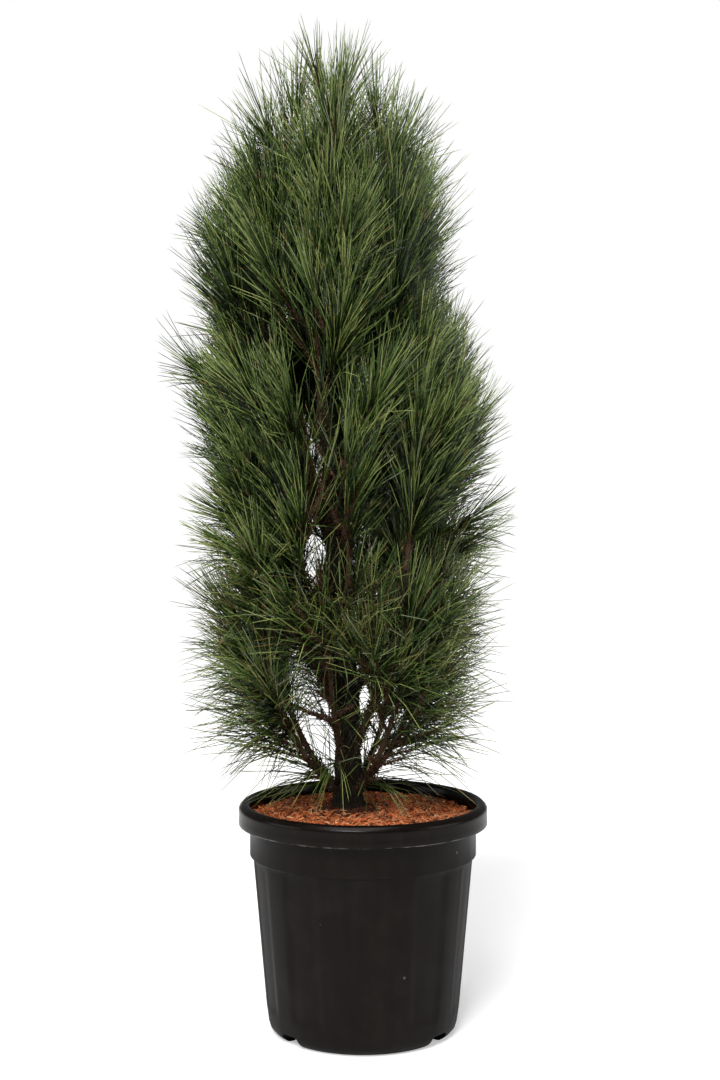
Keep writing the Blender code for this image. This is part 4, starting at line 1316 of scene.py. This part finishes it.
def plastic_material(colour):
    """Near-black pot plastic: satin, with dust, pale specks, faint streaks, and a painted highlight along
    the lip's lower edge.
    """
    material, tree, shader = new_material("pot plastic", roughness=0.22, specular=0.14)
    place = tree.object_place()
    drawn = tree.vector("MULTIPLY", place, STREAK_STRETCH)
    faint = tree.ranged(tree.cloud(drawn, scale=60.0, detail=5.0), 0.35, 0.75, to_high=0.5)
    dark, light = (tuple(share * part for part in colour) for share in STREAK_SHADES)
    base = tree.blend(faint, dark, light)
    worn = tree.weathering(patch=0.060, speck=0.016, patches=0.05, specks=0.030)
    dusty = tree.blend(worn["Dust"], base, DUST)
    specked = tree.blend(worn["Speck"], dusty, SPECK)
    height = tree.get("ShaderNodeSeparateXYZ", {0: place}, "Z")
    # Painted highlight: a pale line along the lip's lower edge, broken up by noise
    off = tree.maths("ABSOLUTE", tree.maths("SUBTRACT", height, EDGE_HEIGHT))
    edge = tree.ranged(off, 0.0016, 0.0006, to_high=0.9)
    highlight_breaks = tree.ranged(tree.cloud(place, scale=38.0, detail=4.0), 0.36, 0.62)
    edged = tree.blend(tree.maths("MULTIPLY", edge, highlight_breaks), specked, EDGE_HIGHLIGHT)
    tree.feed(shader["Base Color"], edged)
    rough = tree.ranged(tree.cloud(drawn, scale=34.0, detail=4.0), 0.3, 0.7, 0.17, 0.28)
    below = tree.ranged(height, EDGE_HEIGHT, BAND_BOTTOM, to_high=0.30)
    tree.feed(shader["Roughness"], tree.maths("ADD", rough, below))
    fine = tree.cloud(place, scale=900.0, detail=2.0)
    tree.feed(shader["Normal"], tree.bump(fine, strength=0.10, distance=0.0006))
    return material


def soil_material():
    """The dark, fibrous bed under the mulch chips."""
    material, tree, shader = new_material("mulch bed", roughness=0.92, specular=0.2)
    fibres = tree.cloud(tree.object_place(), scale=260.0, detail=6.0, roughness=0.7)
    tree.feed(shader["Base Color"], tree.blend(tree.ranged(fibres, 0.35, 0.65), BED_DARK, BED_LIGHT))
    tree.feed(shader["Normal"], tree.bump(fibres, strength=0.9, distance=0.002))
    return material


def bark_material(name, colours, scale):
    """Bark: dark furrows, greyer plates and a few pale, dusty patches, each of its colour."""
    material, tree, shader = new_material(name, roughness=0.88, specular=0.25)
    furrow, plate, lichen = colours
    place = tree.vector("MULTIPLY", tree.object_place(), PLATE_STRETCH)
    plates = tree.ranged(tree.furrows(place, scale), 0.02, 0.20)
    grain = tree.cloud(place, scale=480.0, detail=5.0)
    spread = tree.maths("MULTIPLY", tree.maths("MULTIPLY", plates, grain), 1.5, use_clamp=True)
    worn = tree.weathering(patch=0.018, speck=0.006, patches=0.55, specks=0.10)
    tree.feed(shader["Base Color"], tree.blend(worn["Dust"], tree.blend(spread, furrow, plate), lichen))
    tree.feed(shader["Normal"], tree.bump(grain, strength=0.7, distance=0.0015))
    return material


class PINE_OT_pot(bpy.types.Operator):
    """Make the pot: rolled lip, plain band, fluted body, and a foot ring with three notches."""

    bl_idname = "pine.pot"
    bl_label = "Pot"

    def execute(self, context):
        settings = context.scene.pine_pot
        mesh = lathe("pot_shell", pot_profile(settings), settings.sides)
        points = press_flutes(points_of(mesh), settings.flute_depth)
        set_points(mesh, nick_lip(points, settings))
        source = linked("pot_source", mesh)
        cutters = notch_cutters()
        cut = source.modifiers.new("Notches", "BOOLEAN")
        cut.operation = "DIFFERENCE"
        cut.object = cutters
        finished = evaluated_mesh(source, "pot_shell")
        bpy.data.objects.remove(cutters, do_unlink=True)
        finished.materials.clear()
        finished.materials.append(plastic_material(tuple(settings.colour)))
        finished.shade_smooth()
        finished.set_sharp_from_angle(angle=math.radians(SHARP_FROM))
        settle(linked("pot_shell", finished), "pot", "pot")
        return {"FINISHED"}


def mound(radius):
    """The height of the mulch bed at each radius."""
    fall = ease((radius - MIX_FLAT_RADIUS) / (MIX_RADIUS - MIX_FLAT_RADIUS))
    return MIX_HIGH.z - BED_BELOW + (MIX_EDGE - MIX_HIGH.z) * fall


def heap(x, y):
    """How far the bed rises round the trunk's foot."""
    return HEAP * np.exp(-((np.hypot(x - TRUNK_X, y) / HEAP_RADIUS) ** 4))


def chip_meshes():
    """A few shapes of bark chip: short, bent, four-sided splinters of unit length along X."""
    meshes = []
    for number, (width, thick, bend) in enumerate(CHIP_SHAPES):
        points = []
        for share, size in CHIP_RINGS:
            lift = bend * (1.0 - 4.0 * share * share)
            for y, z in ((-1, -1), (1, -1), (1, 1), (-1, 1)):
                skew = CHIP_SKEW * y * (0.5 + share)
                points.append((share + skew * width, 0.5 * width * size * y, lift + 0.5 * thick * size * z))
        faces = [(3, 2, 1, 0), *band(0, 4, 4), *band(4, 8, 4), (8, 9, 10, 11)]
        meshes.append(new_mesh(f"chip_{number}", points, faces=faces))
    return meshes


def strewing_tree(materials):
    """Geometry Nodes: chips strewn over a surface, lying at all angles, in mixed tints."""
    inputs = (
        ("Chips", "Collection"), ("Density", "Float", 70000.0), ("Length", "Float", 0.01),
        ("Seed", "Int", 0), ("Shade middle", "Vector"), ("Shade reach", "Float", 0.05),
        ("Shade tint", "Int", 0),
    )
    tree, given = Nodes.geometry("Strewn chips", inputs, materials)
    feeds = {"Mesh": given["Geometry"], "Density": given["Density"], "Seed": given["Seed"]}
    spots = tree.get("GeometryNodeDistributePointsOnFaces", feeds, "Points")
    # Painted shade: chips near the trunk's foot take the dark tint
    away = tree.vector("DISTANCE", tree.get("GeometryNodeInputPosition"), given["Shade middle"])
    reach = tree.maths("MULTIPLY", tree.random("FLOAT", *SHADE_EDGE, seed=9), given["Shade reach"])
    tint = tree.random("INT", 0, len(materials) - 1, seed=3)
    dealt = tree.switch(tree.maths("LESS_THAN", away, reach), tint, given["Shade tint"])
    feeds = {"Geometry": spots, "Name": "tint", "Value": dealt}
    marked = tree.get("GeometryNodeStoreNamedAttribute", feeds, data_type="INT", domain="POINT")
    feeds = {"Collection": given["Chips"], "Separate Children": True, "Reset Children": True}
    chips = tree.get("GeometryNodeCollectionInfo", feeds)
    turns = tree.random("FLOAT_VECTOR", *CHIP_TURNS, seed=5)
    turned = tree.get("FunctionNodeEulerToRotation", {"Euler": turns})
    scale = tree.maths("MULTIPLY", tree.random("FLOAT", *CHIP_SIZES, seed=7), given["Length"])
    feeds = {"Points": marked, "Instance": chips, "Pick Instance": True, "Rotation": turned, "Scale": scale}
    placed = tree.get("GeometryNodeInstanceOnPoints", feeds)
    shown = tree.get("GeometryNodeRealizeInstances", {"Geometry": placed})
    read = tree.attribute("tint", "INT")
    for number, label in enumerate(materials):
        shown = tree.painted(shown, tree.compare("INT", "EQUAL", read, number), given[label])
    tree.add("NodeGroupOutput", {"Geometry": shown})
    return tree.tree


def uneven(points, depth, size, seed):
    """Heights of a smooth, random relief at each point."""
    shift = Vector((seed, 0.0, 0.0))
    return np.array([depth * noise.fractal(Vector(p) / size + shift, 1.0, 2.0, 4) for p in points])


class PINE_OT_mulch(bpy.types.Operator):
    """Make the potting mix with its uneven bed, and strew bark chips over it."""

    bl_idname = "pine.mulch"
    bl_label = "Bark mulch"

    colours = {
        "Rust": (0.760, 0.205, 0.062),
        "Russet": (0.600, 0.148, 0.045),
        "Umber": (0.270, 0.080, 0.028),
        "Tan": (0.860, 0.470, 0.235),
        "Dark": (0.075, 0.024, 0.010),
        "Sienna": (0.820, 0.262, 0.090),
    }

    def execute(self, context):
        self.bed(context.scene.pine_pot.flute_depth)
        self.strew(context, context.scene.pine_mulch)
        return {"FINISHED"}

    def bed(self, flute_depth):
        """Fill the pot with its mix, up to an uneven bed."""
        radii = [0.0, *np.linspace(0.004, MIX_RADIUS, BED_RINGS).tolist()]
        top = [(radius, float(mound(radius))) for radius in radii]
        side = [(BODY_TOP_RADIUS - MIX_GAP, BAND_BOTTOM), (BODY_TOP_RADIUS - MIX_GAP, FLUTE_TOP)]
        side += [(BODY_FOOT_RADIUS - MIX_GAP, FLUTE_BOTTOM)]
        side += [(CORNER_RADIUS - MIX_FOOT_GAP, MIX_LOW.z), (0.0, MIX_LOW.z)]
        profile = top + subdivided([(MIX_RADIUS, MIX_EDGE - BED_SEAM), *side], BED_STEP)
        mesh = lathe("mulch_bed", profile[::-1], BED_SIDES)
        points = press_flutes(points_of(mesh), flute_depth)
        upper = points[:, 2] > MIX_EDGE - BED_UPPER
        points[upper, 2] += uneven(points[upper], BED_RELIEF, BED_GRAIN, seed=3.0)
        points[upper, 2] += heap(points[upper, 0], points[upper, 1])
        set_points(mesh, points)
        mesh.materials.append(soil_material())
        mesh.shade_smooth()
        settle(linked("mulch_bed", mesh), "mulch", "potting_mix")

    def strew(self, context, settings):
        """Strew the chips over the bed's upper side."""
        shapes = bpy.data.collections.new("chip shapes")
        context.scene.collection.children.link(shapes)
        for mesh in chip_meshes():
            shapes.objects.link(bpy.data.objects.new(mesh.name, mesh))
        made = bmesh.new()
        bmesh.ops.create_circle(made, cap_ends=True, radius=CHIP_LIMIT, segments=STREWN_SIDES)
        bmesh.ops.poke(made, faces=made.faces)
        bmesh.ops.subdivide_edges(made, edges=made.edges, cuts=STREWN_CUTS, use_grid_fill=True)
        for vertex in made.verts:
            x, y = vertex.co.xy
            vertex.co.z = float(mound(math.hypot(x, y)) + heap(x, y)) + CHIP_LIFT
        values = {
            "Chips": shapes,
            "Density": settings.chips / (math.pi * CHIP_LIMIT**2),
            "Length": settings.chip_length,
            "Seed": settings.seed,
            "Shade middle": (TRUNK_X, 0.0, TRUNK_LOW.z + HEAP),
            "Shade reach": SHADE_REACH,
            "Shade tint": list(self.colours).index("Dark"),
        }
        for label, colour in self.colours.items():
            values[label] = plain_material(f"bark chip {label.lower()}", colour, **CHIP_FINISH)
        tree = strewing_tree(tuple(self.colours))
        mesh = grown("mulch_chips", mesh_of("strewn_on", made), tree, values)
        for shape in list(shapes.objects):
            bpy.data.objects.remove(shape, do_unlink=True)
        bpy.data.collections.remove(shapes)
        settle(linked("mulch_chips", mesh), "mulch")


class PINE_OT_trunk(bpy.types.Operator):
    """Make the trunk's bark, with its root flare, furrows and collars at the boughs."""

    bl_idname = "pine.trunk"
    bl_label = "Trunk"

    def execute(self, context):
        settings = context.scene.pine_bark
        heights = np.arange(TRUNK_LOW.z, TRUNK_HIGH.z, TRUNK_STEP)
        line = lines_mesh("trunk_line", [trunk_centre(heights)], [trunk_radius(heights)])
        bark = bark_material("trunk bark", TRUNK_BARK, scale=120.0)
        values = {"Sides": 56, "Relief": settings.relief, "Plate size": settings.plate, "Material": bark}
        mesh = grown("trunk_bark", line, limb_tree(), values)
        settle(linked("trunk_bark", mesh), "bark", "trunk")
        return {"FINISHED"}


class PINE_OT_boughs(bpy.types.Operator):
    """Make the boughs' bark, from their saddles on the trunk to where their foliage starts."""

    bl_idname = "pine.boughs"
    bl_label = "Boughs"

    def execute(self, context):
        settings = context.scene.pine_bark
        lines, girths = [], []
        for bough in BOUGHS:
            count = max(BOUGH_RINGS, int((bough.entry - bough.foot) / BOUGH_STEP))
            share = np.linspace(0.0, 1.0, count)
            lines.append(bough_point(bough, share * entry_share(bough)))
            base = BOUGH_SLIM * bough.girth * (1.0 + SADDLE * np.exp(-share / SADDLE_REACH))
            girths.append(base + (ENTRY_RADIUS - base) * share**BOUGH_TAPER)
        values = {
            "Sides": 22,
            "Relief": BOUGH_RELIEF * settings.relief,
            "Plate size": BOUGH_PLATE * settings.plate,
            "Material": bark_material("bough bark", BOUGH_BARK, scale=210.0),
        }
        mesh = grown("bough_bark", lines_mesh("bough_lines", lines, girths), limb_tree(), values)
        names = [f"bough_{bough.name}" for bough in BOUGHS]
        settle(linked("bough_bark", mesh), "bark", *names)
        return {"FINISHED"}


def all_shoots(settings, crown):
    """Every shoot of the crown, by the name of its mass. The same seed gives the same crown."""
    azimuths = {bough.name: math.radians(bough.azimuth) for bough in BOUGHS}
    return {
        name: shoots_of(name, number, stem, azimuths.get(name, 0.0), settings, crown)
        for number, (name, stem) in enumerate(stem_lines(STEM_STEPS).items())
    }


class PINE_OT_twigs(bpy.types.Operator):
    """Make the stems and shoots inside the foliage, with the stubs of shed needles on them."""

    bl_idname = "pine.twigs"
    bl_label = "Twigs"

    def execute(self, context):
        shoots = all_shoots(context.scene.pine_needles, Crown())
        bark = plain_material("twig bark", TWIG_BARK, roughness=0.85, specular=0.25)
        stub = plain_material("needle stub", STUB_BARK, roughness=0.8, specular=0.25)
        lines, girths, stubs = [], [], []
        for mass in shoots.values():
            for place, shoot in enumerate(mass):
                if not shoot.girth:
                    continue
                line = shoot.line[::2] if place == 0 else shoot.line
                share = np.linspace(0.0, 1.0, len(line))
                lines.append(line)
                girths.append(shoot.girth + (shoot.tip_girth - shoot.girth) * share)
                ends = shoot.girth, shoot.tip_girth
                stubs.append(self.stubs(shoot.line, ends, STUB_REACH, STUBS_APART))
        for bough in BOUGHS:
            limb = limb_line(bough, STUB_LIMB_STEPS)
            for apart in LIMB_STUBS_APART:
                stubs.append(self.stubs(limb, (bough.girth, ENTRY_RADIUS), 1.0, apart))
        line = lines_mesh("twig_lines", lines, girths)
        values = {"Sides": 6, "Relief": 0.0, "Plate size": 0.01, "Material": bark}
        settle(linked("twigs", grown("twigs", line, limb_tree(), values)), "bark")
        roots, ways = (np.concatenate(part) for part in zip(*stubs))
        zeros = np.zeros(len(roots))
        length = np.random.default_rng(SEED).uniform(*STUB_LENGTHS, len(roots))
        spray = Needles(roots, ways, length, 0.0 * ways, zeros, zeros, zeros, zeros > 0)
        shape = linked("stub_shape", spike_mesh("stub_shape", STUB_RINGS))
        values = {"Spike": shape, "Dry spike": shape, "Radius": STUB_RADIUS, "Stub": stub}
        mesh = grown("twig_stubs", spray_mesh("stub_points", spray), spikes_tree(("Stub",), False), values)
        bpy.data.objects.remove(shape, do_unlink=True)
        settle(linked("twig_stubs", mesh), "bark")
        return {"FINISHED"}

    def stubs(self, line, ends, reach, apart):
        """Roots and directions of the stubs along a line, up to a share of its reach."""
        span = np.linalg.norm(np.diff(line, axis=0), axis=1).sum()
        count = int(span / apart)
        share = (np.arange(count) + 0.5) / count
        root, along = places_on(line, share * reach)
        way = around(along, np.full(count, math.radians(STUB_LEAN)), np.arange(count) * GOLDEN_ANGLE)
        flat = unit(way - along * (way * along).sum(axis=1, keepdims=True))
        girth = ends[0] + (ends[1] - ends[0]) * share
        return root + flat * (STUB_SEAT * girth)[:, None], way


class PINE_OT_needles(bpy.types.Operator):
    """Grow the needles in pairs on every shoot, joined by tier of the crown, front and back."""

    bl_idname = "pine.needles"
    bl_label = "Needles"

    colours = {
        "deep": (0.008, 0.016, 0.0035),
        "mid": (0.054, 0.098, 0.017),
        "fresh": (0.150, 0.228, 0.046),
        "bright": (0.350, 0.410, 0.122),
        "grey": (0.260, 0.305, 0.170),
        "olive": (0.080, 0.082, 0.020),
        "straw": (0.200, 0.160, 0.048),
        "dry tip": (0.270, 0.170, 0.055),
    }

    def execute(self, context):
        settings = context.scene.pine_needles
        crown = Crown()
        shoots = all_shoots(settings, crown)
        values = {
            label: plain_material(f"needle {label}", colour, roughness=0.32, specular=0.55)
            for label, colour in self.colours.items()
        }
        plain = linked("needle_shape", spike_mesh("needle_shape", NEEDLE_RINGS))
        tipped = linked("tipped_needle_shape", spike_mesh("tipped_needle_shape", TIPPED_RINGS))
        values.update({"Spike": plain, "Dry spike": tipped, "Radius": settings.radius})
        tree = spikes_tree(tuple(self.colours), True)
        groups = {}
        for number, (name, mass) in enumerate(shoots.items()):
            draw = np.random.default_rng(SEED * 2000 + number)
            tier, painted_shade = TIERS[tier_of(name)], MASS_SHADE.get(name, 0.0)
            sprays = [needles_on(shoot, tier, painted_shade, draw) for shoot in mass]
            whole = Needles(*(np.concatenate(fields) for fields in zip(*sprays)))
            whole = turned_up(whole, BULGES.get(name, (0.0, 0.0)), draw)
            whole = keeping_clear(whole, crown, draw, context.scene.pine_stage)
            groups.setdefault(group_of(name), []).append((name, whole))
        for group, members in groups.items():
            joined = Needles(*(np.concatenate(fields) for fields in zip(*(m[1] for m in members))))
            mesh = grown(f"needles_{group}", spray_mesh(f"{group}_points", joined), tree, values)
            piece = linked(f"needles_{group}", mesh)
            settle(piece, "needles", *(f"foliage_{name}" for name, _ in members))
        for shape in (plain, tipped):
            bpy.data.objects.remove(shape, do_unlink=True)
        return {"FINISHED"}


class PINE_OT_stage(bpy.types.Operator):
    """Set the floor, the lamps, the bright surroundings and the camera."""

    bl_idname = "pine.stage"
    bl_label = "Stage"

    def execute(self, context):
        settings = context.scene.pine_stage
        self.floor()
        self.surroundings(context)
        self.sun(SUN_STRENGTH * settings.light)
        for name, place, size, power in LAMPS:
            light = bpy.data.lights.new(name, "AREA")
            light.size = size
            light.energy = power * settings.light
            self.aimed(name, light, Vector((0.0, 0.0, LAMPS_AIM)) - Vector(place), place)
        self.camera(context, settings)
        context.scene.view_settings.view_transform = "Standard"
        return {"FINISHED"}

    def aimed(self, name, data, way, place=(0.0, 0.0, 0.0)):
        """A lamp or camera at its place, that looks along a direction."""
        made = linked(name, data)
        made.location = place
        made.rotation_euler = way.to_track_quat("-Z", "Y").to_euler()
        return made

    def floor(self):
        """A plain, pale floor, wide enough to meet the horizon."""
        made = bmesh.new()
        bmesh.ops.create_grid(made, x_segments=1, y_segments=1, size=FLOOR_SIZE)
        mesh = mesh_of("floor", made)
        material, tree, shader = new_material("pale floor", roughness=0.9, specular=0.1)
        shader["Base Color"].default_value = FLOOR_COLOUR
        shader["Emission Color"].default_value = WHITE
        path = tree.get("ShaderNodeLightPath", output="Is Camera Ray")
        tree.feed(shader["Emission Strength"], tree.maths("MULTIPLY", path, FLOOR_GLOW))
        mesh.materials.append(material)
        linked("floor", mesh)

    def surroundings(self, context):
        """A white backdrop for the eye that lights the plant more softly than it looks."""
        world = bpy.data.worlds.new("studio")
        context.scene.world = world
        world.use_nodes = True
        world.node_tree.nodes.clear()
        tree = Nodes(world.node_tree)
        soft = tree.get("ShaderNodeBackground", {"Color": WHITE, "Strength": SURROUNDINGS_LIGHT})
        seen = tree.get("ShaderNodeBackground", {"Color": WHITE, "Strength": 1.0})
        path = tree.get("ShaderNodeLightPath", output="Is Camera Ray")
        mixed = tree.get("ShaderNodeMixShader", {0: path, 1: soft, 2: seen})
        tree.add("ShaderNodeOutputWorld", {"Surface": mixed})

    def sun(self, strength):
        """One broad, soft light from high in front, that is as strong on the far floor."""
        light = bpy.data.lights.new("sun", "SUN")
        light.angle = math.radians(SUN_WIDTH)
        light.energy = strength
        self.aimed("sun", light, Vector(SUN_WAY))

    def camera(self, context, settings):
        """The camera, level as in the photograph, with the view moved down by a small shift."""
        data = bpy.data.cameras.new("camera")
        data.lens = settings.lens
        data.sensor_width = SENSOR_WIDTH
        data.shift_y = VIEW_SHIFT
        place = Vector((0.0, -settings.distance, settings.eye))
        aim = Vector((AIM_X, 0.0, settings.eye))
        context.scene.camera = self.aimed("camera", data, aim - place, place)


class PINE_PT_panel(bpy.types.Panel):
    """Lists the pieces of the pine in the order they are made."""

    bl_idname = "PINE_PT_panel"
    bl_label = "Pine in a pot"
    bl_space_type = "VIEW_3D"
    bl_region_type = "UI"
    bl_category = "Pine"

    def draw(self, context):
        for operator, group in STEPS:
            box = self.layout.box()
            box.operator(operator.bl_idname)
            settings = getattr(context.scene, group)
            for name in settings.__annotations__:
                box.prop(settings, name)


GROUPS = {
    "pine_pot": PotSettings,
    "pine_mulch": MulchSettings,
    "pine_bark": BarkSettings,
    "pine_needles": NeedleSettings,
    "pine_stage": StageSettings,
}
STEPS = (
    (PINE_OT_pot, "pine_pot"),
    (PINE_OT_mulch, "pine_mulch"),
    (PINE_OT_trunk, "pine_bark"),
    (PINE_OT_boughs, "pine_bark"),
    (PINE_OT_twigs, "pine_needles"),
    (PINE_OT_needles, "pine_needles"),
    (PINE_OT_stage, "pine_stage"),
)


def register():
    """Register the settings, operators and panel."""
    for name, group in GROUPS.items():
        bpy.utils.register_class(group)
        setattr(bpy.types.Scene, name, PointerProperty(type=group))
    for operator, _ in STEPS:
        bpy.utils.register_class(operator)
    bpy.utils.register_class(PINE_PT_panel)


def unregister():
    """Undo what register did."""
    bpy.utils.unregister_class(PINE_PT_panel)
    for operator, _ in reversed(STEPS):
        bpy.utils.unregister_class(operator)
    for name, group in GROUPS.items():
        delattr(bpy.types.Scene, name)
        bpy.utils.unregister_class(group)


def main():
    """Make every piece in order."""
    register()
    for operator, _ in STEPS:
        family, name = operator.bl_idname.split(".")
        getattr(getattr(bpy.ops, family), name)()


if __name__ == "__main__":
    main()
